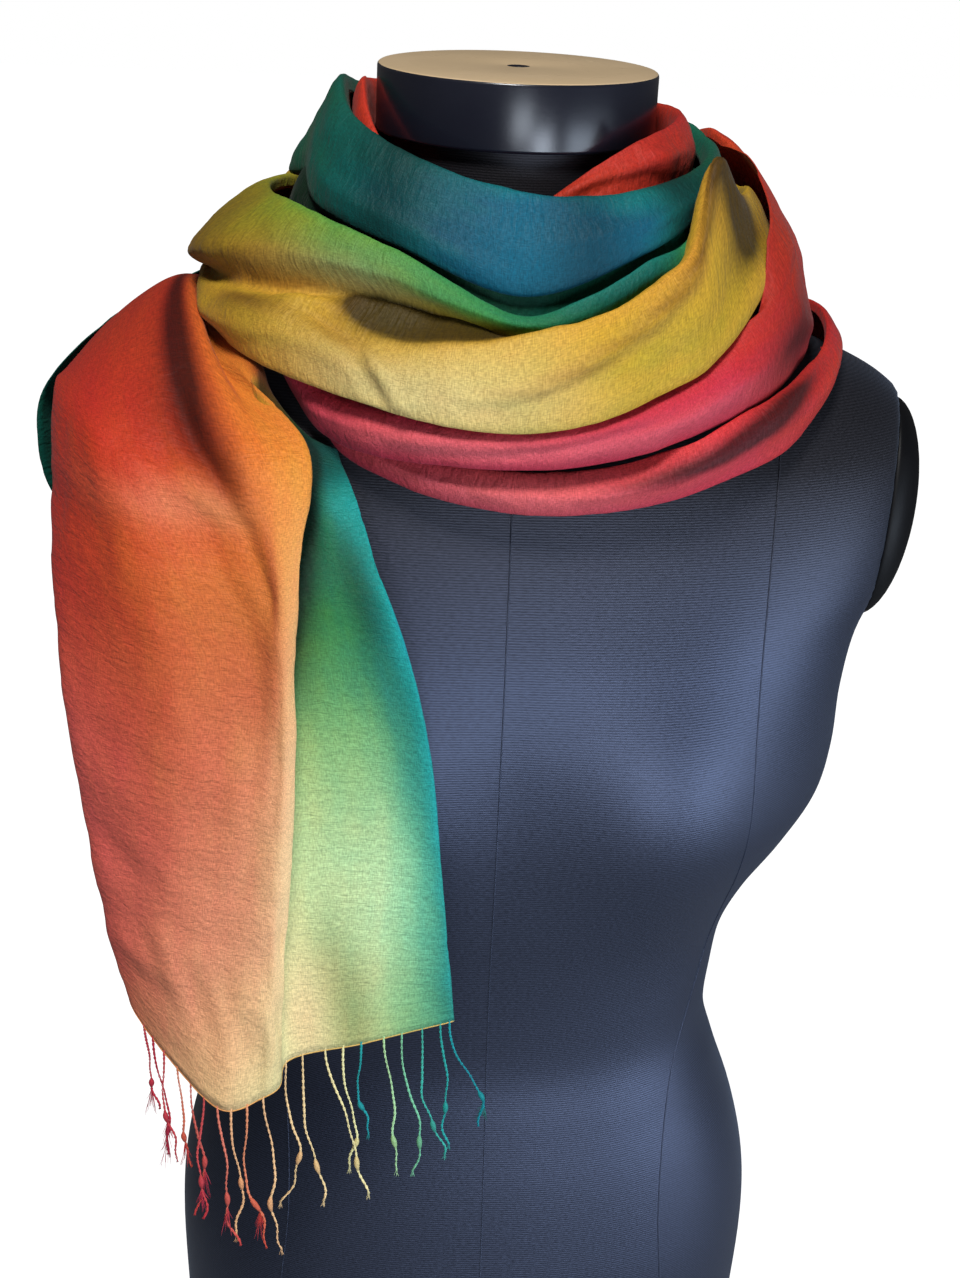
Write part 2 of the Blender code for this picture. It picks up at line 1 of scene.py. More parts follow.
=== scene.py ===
"""Looks for a fringed shawl on a limbless dress form.

Metres, +Z up, and the form faces -Y. Tables are in millimetres. Round the neck an
azimuth of 0 is the front, 90 the viewer's right and -90 the viewer's left. The dye
runs from 0, crimson, through orange, gold and green to 1, blue.
"""

import json
import math
from collections import namedtuple

import bmesh
import bpy
import numpy as np
from mathutils import Matrix, Vector, noise

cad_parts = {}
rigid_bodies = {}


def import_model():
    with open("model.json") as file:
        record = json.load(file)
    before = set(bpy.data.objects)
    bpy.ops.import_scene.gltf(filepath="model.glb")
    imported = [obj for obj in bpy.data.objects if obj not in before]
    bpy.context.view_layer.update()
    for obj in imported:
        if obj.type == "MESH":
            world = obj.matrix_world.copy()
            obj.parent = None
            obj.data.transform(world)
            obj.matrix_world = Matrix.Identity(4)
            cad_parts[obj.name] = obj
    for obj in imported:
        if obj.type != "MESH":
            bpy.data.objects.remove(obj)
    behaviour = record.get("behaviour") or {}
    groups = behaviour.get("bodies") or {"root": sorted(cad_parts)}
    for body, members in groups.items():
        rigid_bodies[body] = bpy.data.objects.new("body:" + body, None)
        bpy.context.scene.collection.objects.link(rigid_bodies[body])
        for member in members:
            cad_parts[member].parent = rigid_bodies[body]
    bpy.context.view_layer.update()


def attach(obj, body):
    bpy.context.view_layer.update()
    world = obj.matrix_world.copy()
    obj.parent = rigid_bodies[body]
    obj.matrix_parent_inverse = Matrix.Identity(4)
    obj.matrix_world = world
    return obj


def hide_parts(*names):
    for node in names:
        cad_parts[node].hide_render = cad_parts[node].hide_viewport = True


bl_info = {
    "name": "Fringed shawl",
    "version": (1, 0, 0),
    "blender": (4, 5, 0),
    "location": "View3D > Sidebar > Shawl",
    "description": "Builds a fringed shawl worn on a dress form",
    "category": "Object",
}

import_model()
MM = 0.001

# Dress form
FormRow = namedtuple("FormRow", "z half_width front back roundness")
FORM_ROWS = [
    FormRow(0, 146, 99, 124, 2.3),
    FormRow(60, 150, 102, 127, 2.3),
    FormRow(124, 152.5, 104, 119, 2.3),
    FormRow(157, 150, 101, 108, 2.3),
    FormRow(190, 142, 97, 95, 2.3),
    FormRow(222, 130, 92, 84, 2.3),
    FormRow(252, 121, 88, 78, 2.3),
    FormRow(283, 122, 91, 80, 2.3),
    FormRow(313, 126, 97, 83, 2.3),
    FormRow(341, 138, 104, 87, 2.3),
    FormRow(366, 155, 109, 91, 2.3),
    FormRow(388, 167, 112, 93, 2.3),
    FormRow(410, 171, 113, 96, 2.3),
    FormRow(440, 172, 112, 98, 2.3),
    FormRow(470, 177, 107, 100, 2.3),
    FormRow(500, 190, 99, 99, 2.3),
    FormRow(530, 196, 91, 96, 2.3),
    FormRow(556, 196, 84, 90, 2.2),
    FormRow(574, 191, 76, 86, 2.1),
    FormRow(586, 179, 71, 82, 2.0),
    FormRow(597, 158, 66, 78, 2.0),
    FormRow(608, 126, 62, 74, 2.0),
    FormRow(620, 91, 60, 70, 2.0),
    FormRow(634, 69, 59, 65, 2.0),
    FormRow(655, 58, 57, 59, 2.0),
    FormRow(690.7, 56, 56, 56, 2.0),
]
FORM_SIDES = 216
FORM_ROW_STEPS = 6
ARMHOLE_X = 181.0
ARMHOLE_Z = 522.0
ARMHOLE_LEAN = 0.07
ARMHOLE_TURN = 0.08
ARMHOLE_FOOT = 300.0
BUST_X = 82.0
BUST_Z = 405.0
BUST_OUT = 14.0
BUST_SPREAD_X = 34.0
BUST_SPREAD_Z = 40.0
BUST_FADE = 2.5

# Seams on the form's front, as x and z from the top down.
CENTRE_SEAM = ((0, 640), (0, 530), (-1, 430), (0, 330), (2, 250), (3, 140), (3, 2))
PRINCESS_SEAM = (
    (121, 590), (119, 555), (117, 500), (116, 440), (117, 394), (115, 350), (112, 315),
    (105, 270), (97, 235), (94, 200), (94, 165), (97, 129), (102, 60), (104, 2),
)
SEAM_STEPS = 24
SEAM_SIDES = 8

# Neck cap
CAP_RADIUS = 62.0
CAP_BOTTOM = 691.0
CAP_TOP = 720.0
CAP_EDGE = 1.6
CAP_HOLE_RADIUS = 5.0
CAP_HOLE_DEPTH = 12.0
CAP_INSERT_WIDTH = 1.8
CAP_INSERT_DEPTH = 0.6
CAP_SIDES = 128

# Arm plates
PLATE_SIDES = 96
PLATE_RINGS = 14
PLATE_MIDDLE_Y = -2.0
PLATE_HALF_HEIGHT = 54.0
PLATE_HALF_DEPTH = 42.0
PLATE_DOME = 19.0
PLATE_TOP_ANGLE = 86.0
SEAM_GAP = 0.3

# Each turn is cut by half planes through the neck's axis. A row gives the cloth's
# radius and height at its folds, from the inside over the crest to the lower hem.
TurnRow = namedtuple("TurnRow", "azimuth crest_r crest_z belly_r belly_z hem_r hem_z")
INNER_TURN = [
    TurnRow(-180, 70, 704, 74, 690, 73, 665),
    TurnRow(-120, 70, 708, 74, 694, 73, 668),
    TurnRow(-90, 68, 711, 73, 697, 73, 670),
    TurnRow(-60, 70, 692, 74, 682, 73, 664),
    TurnRow(-30, 69, 662, 73, 655, 73, 643),
    TurnRow(0, 69, 668, 74, 659, 74, 645),
    TurnRow(30, 70, 691, 76, 680, 75, 655),
    TurnRow(60, 72, 701, 80, 688, 76, 665),
    TurnRow(90, 72, 703, 79, 690, 75, 665),
    TurnRow(130, 70, 703, 75, 690, 73, 665),
]
TEAL_TURN = [
    TurnRow(-180, 80, 699, 88, 684, 88, 662),
    TurnRow(-150, 81, 701, 90, 686, 90, 664),
    TurnRow(-120, 81, 706, 92, 690, 97, 667),
    TurnRow(-105, 79, 711, 90, 692, 104, 667),
    TurnRow(-90, 78, 713, 88, 697, 93, 671),
    TurnRow(-60, 82, 701, 95, 683, 99, 665),
    TurnRow(-30, 84, 689, 96, 673, 101, 656),
    TurnRow(0, 84, 679, 96, 661, 100, 641),
    TurnRow(30, 86, 679, 97, 669, 100, 657),
    TurnRow(60, 88, 686, 97, 681, 98, 673),
    TurnRow(90, 86, 692, 93, 684, 93, 670),
    TurnRow(120, 82, 697, 90, 684, 90, 664),
    TurnRow(150, 80, 698, 88, 684, 88, 662),
]
GoldRow = namedtuple(
    "GoldRow",
    "azimuth crest_r crest_z lobe_r lobe_z groove_r groove_z "
    "top_r top_z belly_r belly_z hem_r hem_z",
)
GOLD_TURN = [
    GoldRow(-180, 97, 678, 97.5, 685, 99, 689, 102, 690, 108, 676, 107, 658),
    GoldRow(-150, 99, 676, 100, 683, 104, 687, 108, 685, 114, 672, 112, 656),
    GoldRow(-120, 107, 662, 112, 663, 117, 661, 122, 656, 132, 644, 133, 632),
    GoldRow(-105, 109, 664, 132, 649, 127, 642, 131, 638, 138, 631, 134, 622),
    GoldRow(-90, 109, 665, 144.5, 635, 134, 628, 136, 626, 140, 623, 134, 618),
    GoldRow(-75, 109, 666, 138, 643, 130, 630, 134, 625, 141, 615, 134, 607),
    GoldRow(-60, 110, 667, 128, 651, 126, 634, 130, 628, 139, 616, 134, 604),
    GoldRow(-45, 110, 663, 120, 650, 110, 636, 123, 628, 133, 616, 130, 600),
    GoldRow(-30, 109, 657, 115, 647, 102, 632, 119, 620, 129, 610, 128, 596),
    GoldRow(-15, 107, 644, 111, 638, 100, 628, 119, 622, 127, 608, 126, 591),
    GoldRow(0, 105, 633, 109, 630, 103, 623, 118, 628, 126, 607, 124, 589),
    GoldRow(15, 106, 642, 109, 636, 104, 627, 118, 637, 125, 615, 124, 594),
    GoldRow(30, 105, 655, 108, 650, 104, 640, 115, 650, 125, 626, 124, 605),
    GoldRow(38, 104, 658, 107, 654, 105, 650, 112, 660, 125, 633, 125, 611),
    GoldRow(46, 101.5, 664, 101.5, 674, 102, 683, 105.5, 691, 122, 644, 126, 623),
    GoldRow(60, 100, 660, 101, 666, 103, 671, 107, 677, 119, 657, 125, 643),
    GoldRow(75, 99, 656, 100, 664, 102, 671, 105, 676, 116, 658, 121, 645),
    GoldRow(90, 99, 655, 99, 662, 100, 668, 103, 671, 113, 658, 117, 643),
    GoldRow(120, 98, 664, 98.5, 670, 99, 674, 101, 676, 108, 666, 109, 650),
    GoldRow(150, 98, 674, 98.5, 680, 100, 684, 102, 685, 108, 672, 108, 656),
]
CrimsonRow = namedtuple(
    "CrimsonRow", "azimuth crest_r crest_z top_r top_z belly_r belly_z hem_r hem_z"
)
CRIMSON_TURN = [
    CrimsonRow(-180, 118, 662, 123, 655, 127, 640, 124, 612),
    CrimsonRow(-165, 116, 654, 121, 649, 125, 636, 122, 608),
    CrimsonRow(-150, 113, 646, 119, 642, 123, 630, 120, 608),
    CrimsonRow(-120, 104, 648, 116, 645, 121, 634, 119, 615),
    CrimsonRow(-90, 104, 642, 116, 640, 122, 630, 120, 615),
    CrimsonRow(-60, 108, 618, 117, 616, 121, 609, 118, 600),
    CrimsonRow(-45, 110, 597, 120, 595, 123, 587, 118, 576),
    CrimsonRow(-30, 110, 592, 119.5, 591, 123, 582, 117, 571),
    CrimsonRow(-15, 110, 589, 118.5, 588, 122, 580, 116.5, 571),
    CrimsonRow(0, 110, 590, 118, 588, 121, 580, 116, 571),
    CrimsonRow(15, 111, 595, 120, 592, 123, 584, 117, 573),
    CrimsonRow(30, 112, 602, 121, 601, 128, 592, 121, 579),
    CrimsonRow(45, 118, 620, 128, 616, 135, 605, 130, 589),
    CrimsonRow(52, 128.4, 631, 132, 626, 137, 609, 133, 593),
    CrimsonRow(60, 131, 646, 134, 640, 138, 616, 135, 598),
    CrimsonRow(75, 122, 664, 129, 652, 138, 621, 135, 605),
    CrimsonRow(90, 106, 682, 121, 665, 135, 628, 133, 609),
    CrimsonRow(105, 97, 692, 112, 680, 133, 634, 133, 611),
    CrimsonRow(120, 102, 688, 115, 674, 130, 642, 131, 612),
    CrimsonRow(150, 115, 674, 121, 664, 128, 642, 126, 612),
]
LOWER_TURN = [
    TurnRow(-180, 115, 604, 121, 592, 106, 564),
    TurnRow(-150, 108, 602, 114, 595, 110, 580),
    TurnRow(-120, 97, 632, 107, 626, 109, 612),
    TurnRow(-90, 96, 633, 105, 629, 108, 620),
    TurnRow(-75, 97, 626, 105, 622, 108, 614),
    TurnRow(-60, 100, 613, 108, 609, 111, 602),
    TurnRow(-45, 105, 583, 111, 578, 110, 569),
    TurnRow(-30, 104, 573, 111, 567, 107, 558),
    TurnRow(0, 103, 566, 111, 558, 104, 548),
    TurnRow(15, 106, 567, 114, 558, 107, 548),
    TurnRow(30, 116, 574, 123, 563, 116, 552),
    TurnRow(36, 126.8, 581, 131.5, 569, 123, 556),
    TurnRow(45, 132.8, 590, 139, 577, 132, 563),
    TurnRow(60, 140.5, 600, 147.5, 588, 143, 573),
    TurnRow(75, 146, 611, 153, 602, 150, 595),
    TurnRow(90, 145, 618, 152, 610, 150, 599),
    TurnRow(105, 138, 615, 148, 605, 145, 583),
    TurnRow(120, 129, 606, 142, 597, 137, 585),
    TurnRow(150, 121, 604, 129, 592, 116, 570),
]

# The front end is a panel folded in three. Its fold lines run from the red edge, turned
# in behind, to the blue edge, turned back. Each starts beneath the turns, behind the
# shoulder at the red side, and then comes over the shoulder.
FoldStart = namedtuple("FoldStart", "name under_x under_y under_z over_x over_y over_z")
FRONT_END_STARTS = [
    FoldStart("turned_in", -98, 84, 597, -200, 30, 557),
    FoldStart("left", -104, 78, 604, -200, 16, 571),
    FoldStart("belly", -115, 60, 611, -183, 12, 597),
    FoldStart("crease", -125, 41, 611, -154, 4, 620),
    FoldStart("ridge", -131, 24, 611, -144, 6, 620.5),
    FoldStart("face", -127, 7, 612, -134.5, -33, 600.5),
    FoldStart("fold", -108, -72, 600, -113, -80, 597),
    FoldStart("tuck", -104, -76, 590, -108, -86, 582),
    FoldStart("valley", -88, -82, 573, -88, -87, 567),
    FoldStart("right", -76, -82, 567, -74, -85, 562),
    FoldStart("turned_back", -90, -76, 566, -90, -79, 560),
]
# Below the shoulder: the front layer's place in depth, each fold line's place across, and
# how much lower the layers behind it lie.
EndRow = namedtuple(
    "EndRow",
    "z front_y left_x left_back crease_x crease_in ridge_x fold_x tuck_x valley_x "
    "right_x back_x layer behind_drop",
)
FRONT_END_ROWS = [
    EndRow(577, -118, -202, 94, -146, 13, -117, -87, -116, -84, -68, -98, 4, 22),
    EndRow(540, -146, -200, 84, -122, 10, -104, -89, -118, -76, -58, -100, 5, 8),
    EndRow(500, -158, -195, 58, -106, 5, -99, -91, -114, -66, -45, -100, 5, 0),
    EndRow(455, -163, -187, 36, -106, 2, -98, -90, -114, -56, -34, -98, 5, 0),
    EndRow(405, -163, -179, 28, -111, 2, -100, -91.5, -112, -52, -28, -98, 5, 0),
    EndRow(360, -161, -171, 22, -116, 0, -102, -94, -104, -54, -23, -96, 4.5, 0),
    EndRow(312, -159, -163, 18, -119, -4, -105, -96, -91, -58, -19, -94, 4, 0),
]
# The hem runs below and above the last row at each fold line.
HEM_RISE = {
    "turned_in": 22,
    "left": 20,
    "belly": -9,
    "crease": -26,
    "ridge": -22,
    "face": -19,
    "fold": -16,
    "tuck": -8,
    "valley": 0,
    "right": 12,
    "turned_back": -14,
}
TURNED_IN_X = 14.0
TURNED_IN_Y = 12.0
BELLY_BACK_SHARE = 0.2
FACE_OUT = 1.0
# How many layers behind the front one each fold lies.
FOLD_LAYER = 0.6
TUCK_LAYER = 1.8
VALLEY_LAYER = 2.8
TURNED_BACK_LAYER = 5.2
# The cloth is tucked in a little less far than its solid.
TUCK_REACH = 0.55
END_ROW_STEPS = 14
END_GAP_STEPS = (8, 22, 16, 10, 8, 8, 8, 14, 14, 14)

# The back end hangs from under the turns, over the back of the same shoulder.
BackRow = namedtuple("BackRow", "z outer_x outer_y corner_x corner_y middle_y inner_x inner_y wave")
BACK_END_ROWS = [
    BackRow(616, -142, 46, -132, 56, 74, -92, 95, 0),
    BackRow(603, -168, 44, -158, 58, 79, -90, 97, 1),
    BackRow(588, -192, 31, -184, 50, 84, -84, 99, 2),
    BackRow(555, -219, 32, -198, 68, 94, -66, 99, 4),
    BackRow(515, -219, 36, -196, 82, 104, -52, 98, 4),
    BackRow(470, -201, 60, -178, 94, 107, -46, 99.5, 4),
    BackRow(420, -186, 80, -160, 101, 108, -44, 103, 5),
    BackRow(370, -172, 92, -148, 104, 107, -44, 105, 5),
    BackRow(300, -160, 96, -140, 103, 105, -46, 103, 5),
]
BACK_END_WAVES = 6
BACK_ROW_STEPS = 10
BACK_GAP_STEPS = 10

# Dye along and across each piece of cloth. A pale of 1 is nearly undyed, and a deep of 1
# is the darkest shade. The darkening is partly dye and partly painted shade, laid in
# creases, hollows and under the turns; some pale spots are painted highlight.
TurnDye = namedtuple("TurnDye", "azimuth inside crest belly hem pale deep")
INNER_DYE = [
    TurnDye(-180, 0.18, 0.18, 0.18, 0.18, 0, 0.3),
    TurnDye(-90, 0.18, 0.18, 0.18, 0.16, 0, 0.15),
    TurnDye(0, 0.2, 0.2, 0.2, 0.16, 0, 0.3),
    TurnDye(50, 0.12, 0.14, 0.17, 0.2, 0, 0.35),
    TurnDye(120, 0.16, 0.18, 0.18, 0.18, 0, 0.3),
]
TEAL_DYE = [
    TurnDye(-180, 0.82, 0.82, 0.82, 0.82, 0, 0.45),
    TurnDye(-105, 0.82, 0.82, 0.82, 0.8, 0, 0.5),
    TurnDye(-60, 0.82, 0.85, 0.86, 0.84, 0, 0.6),
    TurnDye(-37, 0.85, 0.9, 0.94, 0.92, 0, 0.95),
    TurnDye(-18, 0.88, 0.95, 1.0, 0.98, 0, 0.68),
    TurnDye(0, 0.9, 0.97, 1.02, 1.02, 0, 0.5),
    TurnDye(15, 0.88, 0.95, 1.02, 1.0, 0, 0.8),
    TurnDye(32, 0.86, 0.9, 1.0, 0.96, 0, 0.6),
    TurnDye(42, 0.82, 0.86, 0.92, 0.86, 0, 0.88),
    TurnDye(58, 0.82, 0.82, 0.84, 0.82, 0, 0.7),
    TurnDye(90, 0.82, 0.82, 0.84, 0.82, 0, 0.4),
]
GoldDye = namedtuple("GoldDye", "azimuth inside crest lobe groove top belly hem pale deep")
GOLD_DYE = [
    GoldDye(-180, 0.55, 0.55, 0.54, 0.52, 0.52, 0.5, 0.5, 0, 0.2),
    GoldDye(-105, 0.6, 0.6, 0.55, 0.52, 0.5, 0.5, 0.48, 0, 0.15),
    GoldDye(-80, 0.63, 0.62, 0.54, 0.5, 0.51, 0.51, 0.48, 0, 0.1),
    GoldDye(-55, 0.69, 0.68, 0.56, 0.5, 0.53, 0.52, 0.5, 0, 0.05),
    GoldDye(-30, 0.73, 0.71, 0.68, 0.5, 0.52, 0.53, 0.51, 0, 0),
    GoldDye(-8, 0.78, 0.76, 0.74, 0.52, 0.5, 0.53, 0.52, 0, 0),
    GoldDye(14, 0.84, 0.83, 0.8, 0.6, 0.5, 0.52, 0.52, 0, 0),
    GoldDye(32, 0.84, 0.84, 0.8, 0.6, 0.5, 0.53, 0.51, 0, 0),
    GoldDye(45, 0.74, 0.72, 0.66, 0.51, 0.49, 0.52, 0.5, 0, 0.1),
    GoldDye(75, 0.55, 0.54, 0.54, 0.52, 0.52, 0.53, 0.49, 0, 0.1),
    GoldDye(110, 0.55, 0.55, 0.55, 0.54, 0.52, 0.5, 0.48, 0, 0.2),
]
CrimsonDye = namedtuple("CrimsonDye", "azimuth inside crest top belly hem pale deep")
CRIMSON_DYE = [
    CrimsonDye(-180, 0.12, 0.14, 0.14, 0.12, 0.12, 0, 0.2),
    CrimsonDye(-60, 0.06, 0.06, 0.04, 0.02, 0.02, 0, 0.25),
    CrimsonDye(-20, 0.08, 0.08, 0.06, 0.02, 0.0, 0, 0.1),
    CrimsonDye(20, 0.1, 0.1, 0.08, 0.02, 0.0, 0, 0.1),
    CrimsonDye(42, 0.14, 0.14, 0.1, 0.04, 0.05, 0, 0.15),
    CrimsonDye(58, 0.16, 0.16, 0.15, 0.12, 0.12, 0, 0.5),
    CrimsonDye(78, 0.2, 0.2, 0.17, 0.13, 0.11, 0, 0.3),
    CrimsonDye(130, 0.2, 0.2, 0.18, 0.15, 0.12, 0, 0.15),
]
LOWER_DYE = [
    TurnDye(-180, 0.1, 0.1, 0.1, 0.1, 0, 0.3),
    TurnDye(-45, 0.02, 0.03, 0.03, 0.02, 0, 0.2),
    TurnDye(0, 0.06, 0.08, 0.05, 0.02, 0.08, 0.0),
    TurnDye(40, 0.1, 0.11, 0.08, 0.03, 0.0, 0.0),
    TurnDye(66, 0.13, 0.13, 0.13, 0.13, 0, 0.25),
    TurnDye(110, 0.12, 0.12, 0.12, 0.12, 0, 0.3),
]
# Soft spots of more or less dye, and of painted shade and painted highlight: along is an
# azimuth on a turn and a row on the front end, and the reaches are in the same units.
Spot = namedtuple("Spot", "along across reach_along reach_across dye pale deep")
# Most of the gold turn's dark spots are painted shade: the pocket under the lobe, the dent, the
# line under the band's folded strip and the hollow at its right end. Its pale spots on the band's
# front are partly painted highlight.
GOLD_SPOTS = [
    Spot(-12, 5.2, 26, 1.1, 0.0, 0.55, 0.0),
    Spot(-38, 2.3, 16, 0.7, 0.0, 0.4, 0.0),
    Spot(-30, 5.4, 16, 0.9, 0.0, 0.35, 0.0),
    Spot(-84, 1.6, 14, 1.0, 0.0, 0.0, 0.35),
    Spot(-62, 2.6, 12, 0.6, -0.05, 0.0, 0.25),
    Spot(-60, 4.2, 11, 0.4, -0.04, 0.0, 0.7),
    Spot(-38, 4.15, 7, 0.4, -0.04, 0.0, 0.3),
    Spot(-30, 3.3, 8, 0.36, 0.02, -0.4, 5.0),
    Spot(-20, 3.38, 9, 0.32, 0.02, -0.4, 5.0),
    Spot(-11, 3.5, 7, 0.24, 0.02, -0.3, 3.0),
    Spot(-34, 1.9, 24, 0.9, 0.0, 0.0, 0.42),
    Spot(-84, 2.2, 14, 0.9, -0.05, 0.0, 0.1),
    Spot(-6, 3.6, 7, 0.25, -0.02, -0.2, 0.9),
    Spot(-40, 3.45, 4, 0.3, -0.02, 0.0, 0.3),
    Spot(0, 5.03, 7, 0.12, -0.02, 0.0, 0.3),
    Spot(10, 4.84, 7, 0.11, -0.02, 0.0, 0.4),
    Spot(20, 4.65, 7, 0.11, -0.02, 0.0, 0.45),
    Spot(30, 4.46, 7, 0.11, -0.02, 0.0, 0.5),
    Spot(39, 4.29, 6, 0.11, -0.02, 0.0, 0.6),
    Spot(47, 4.13, 5, 0.11, -0.02, 0.0, 0.7),
    Spot(24, 1.9, 16, 0.9, 0.03, 0.0, 0.55),
    Spot(-28, 5.0, 16, 0.8, -0.02, -0.15, 0.2),
    Spot(8, 4.9, 40, 1.0, 0.0, -0.15, 0.08),
    Spot(-70, 2.2, 22, 1.0, 0.0, 0.0, 0.25),
    Spot(-44, 5.0, 14, 0.8, 0.0, 0.0, 0.12),
    Spot(40, 5.2, 14, 0.7, 0.015, 0.0, 0.15),
    Spot(30, 4.1, 14, 0.4, -0.05, 0.0, 0.15),
    Spot(56, 4.5, 7, 0.6, -0.02, 0.0, 1.5),
    Spot(48, 4.0, 6, 0.7, -0.01, 0.0, 0.3),
    Spot(-92, 4.8, 14, 1.2, 0.0, 0.0, 0.3),
]
# The lower turn's dark spots paint the shade in its valley.
LOWER_SPOTS = [
    Spot(26, 1.85, 10, 0.2, -0.02, 0.0, 0.5),
    Spot(38, 1.78, 10, 0.25, -0.02, 0.0, 0.9),
    Spot(48, 1.68, 9, 0.3, -0.02, 0.0, 1.0),
    Spot(57, 1.4, 8, 0.3, 0.0, 0.0, 0.9),
    Spot(0, 2.2, 40, 0.8, 0.0, 0.45, -0.1),
]
# The crimson turn's dark spots at the right paint the shade where it folds under.
CRIMSON_SPOTS = [
    Spot(-15, 3.0, 30, 0.7, 0.0, 0.5, -0.15),
    Spot(60, 2.9, 9, 0.5, 0.0, 0.0, 0.3),
    Spot(30, 3.3, 26, 0.5, -0.03, 0.25, 0.0),
    Spot(66, 3.0, 10, 0.6, -0.02, 0.0, 0.2),
]
EndDye = namedtuple("EndDye", "row left belly ridge fold tuck valley right")
FRONT_DYE = [
    EndDye(0, 0.16, 0.16, 0.26, 0.34, 0.42, 0.82, 0.86),
    EndDye(1, 0.16, 0.17, 0.3, 0.38, 0.74, 0.82, 0.88),
    EndDye(2, 0.16, 0.18, 0.33, 0.4, 0.78, 0.82, 0.92),
    EndDye(3, 0.12, 0.24, 0.34, 0.4, 0.72, 0.8, 0.93),
    EndDye(4, 0.12, 0.25, 0.32, 0.39, 0.66, 0.76, 0.94),
    EndDye(6, 0.1, 0.22, 0.33, 0.39, 0.62, 0.68, 0.92),
    EndDye(7, 0.12, 0.24, 0.34, 0.42, 0.57, 0.65, 0.9),
    EndDye(8, 0.2, 0.34, 0.48, 0.52, 0.52, 0.6, 0.88),
]
FRONT_PALE = [
    EndDye(0, 0, 0, 0, 0, 0, 0, 0),
    EndDye(2, 0, 0, 0, 0, 0, 0, 0),
    EndDye(4, 0.15, 0.1, 0.2, 0.55, 0.1, 0.05, 0),
    EndDye(5, 0.4, 0.25, 0.55, 0.85, 0.4, 0.35, 0),
    EndDye(6, 0.4, 0.45, 0.75, 0.95, 0.75, 0.7, 0.05),
    EndDye(8, 0.4, 0.7, 0.8, 0.8, 0.85, 0.65, 0.1),
]
# The front end's darkening at the top rows is painted shade in the sliver under the gold turn and
# beside the roll, and row 0's tuck is dyed orange so that this shade reads dark orange. Lower down
# the darkening is partly dye and partly painted shade.
FRONT_DEEP_AND_SHADE = [
    EndDye(0, 0.3, 0.25, 0.15, 0.35, 1.0, 0.9, 0.7),
    EndDye(1, 0.2, 0.2, 0.1, 0.15, 1.0, 0.8, 0.5),
    EndDye(2, 0.15, 0.15, 0.15, 0.15, 0.7, 0.35, 0.0),
    EndDye(4, 0.1, 0.26, 0.3, 0.08, 0.15, 0.2, 0),
    EndDye(6, 0.0, 0.1, 0.1, 0.0, 0.08, 0.12, 0),
    EndDye(8, 0.2, 0.2, 0.1, 0.1, 0.1, 0.15, 0.05),
]
END_DYE_FOLDS = (1, 2, 4, 6, 7, 8, 9)
# The back end's paint by row, and how much its dye falls from one side to the other.
BACK_DYE = ((0, 4, 8), (0.84, 0.84, 0.74))
BACK_PALE = ((0, 6, 8), (0, 0, 0.25))
BACK_DEEP = ((0, 5, 8), (0.6, 0.6, 0.3))
BACK_DYE_ACROSS = 0.05
# Most of the front end's dark spots are painted shade: in its crease, in the sliver under the gold
# turn, beside the folded roll, on the green panel's diagonal fold and along the folds near the hem.
# The pale spot on the ridge is partly painted highlight.
FRONT_SPOTS = [
    Spot(1.6, 3.45, 0.45, 0.35, -0.06, 0.0, 0.8),
    Spot(1.0, 2.8, 0.8, 0.9, -0.03, 0.0, 0.25),
    Spot(0.1, 6.2, 0.5, 0.8, -0.03, 0.0, 0.8),
    Spot(1.3, 7.9, 0.7, 0.3, 0.0, 0.0, 1.2),
    Spot(2.2, 7.68, 0.7, 0.25, 0.0, 0.0, 1.1),
    Spot(3.1, 7.52, 0.7, 0.22, 0.0, 0.0, 0.9),
    Spot(4.0, 7.4, 0.7, 0.2, 0.0, 0.0, 0.6),
    Spot(2.2, 3.7, 0.35, 0.4, -0.04, 0.0, 0.55),
    Spot(1.0, 3.6, 0.5, 0.35, -0.05, 0.0, 0.6),
    Spot(1.9, 3.0, 0.3, 0.5, -0.03, 0.0, 0.2),
    Spot(2.6, 2.9, 0.22, 1.0, 0.02, 0.3, 0.0),
    Spot(3.5, 2.6, 0.8, 0.8, 0.03, 0.0, 0.05),
    Spot(3.2, 4.3, 0.6, 0.35, -0.06, 0.0, 0.25),
    Spot(2.2, 8.5, 0.4, 0.4, 0.04, 0.1, -0.5),
    Spot(3.3, 8.3, 0.7, 0.3, -0.03, 0.0, 0.45),
    Spot(6.3, 8.3, 1.0, 0.5, 0.0, 0.2, 0.0),
    Spot(6.9, 7.6, 0.5, 0.14, 0.01, -0.1, 0.16),
    Spot(7.4, 7.75, 0.5, 0.16, 0.02, -0.15, 0.2),
    Spot(7.9, 7.9, 0.5, 0.18, 0.02, -0.15, 0.2),
    Spot(7.6, 7.35, 0.6, 0.25, -0.12, 0.1, 0.0),
]

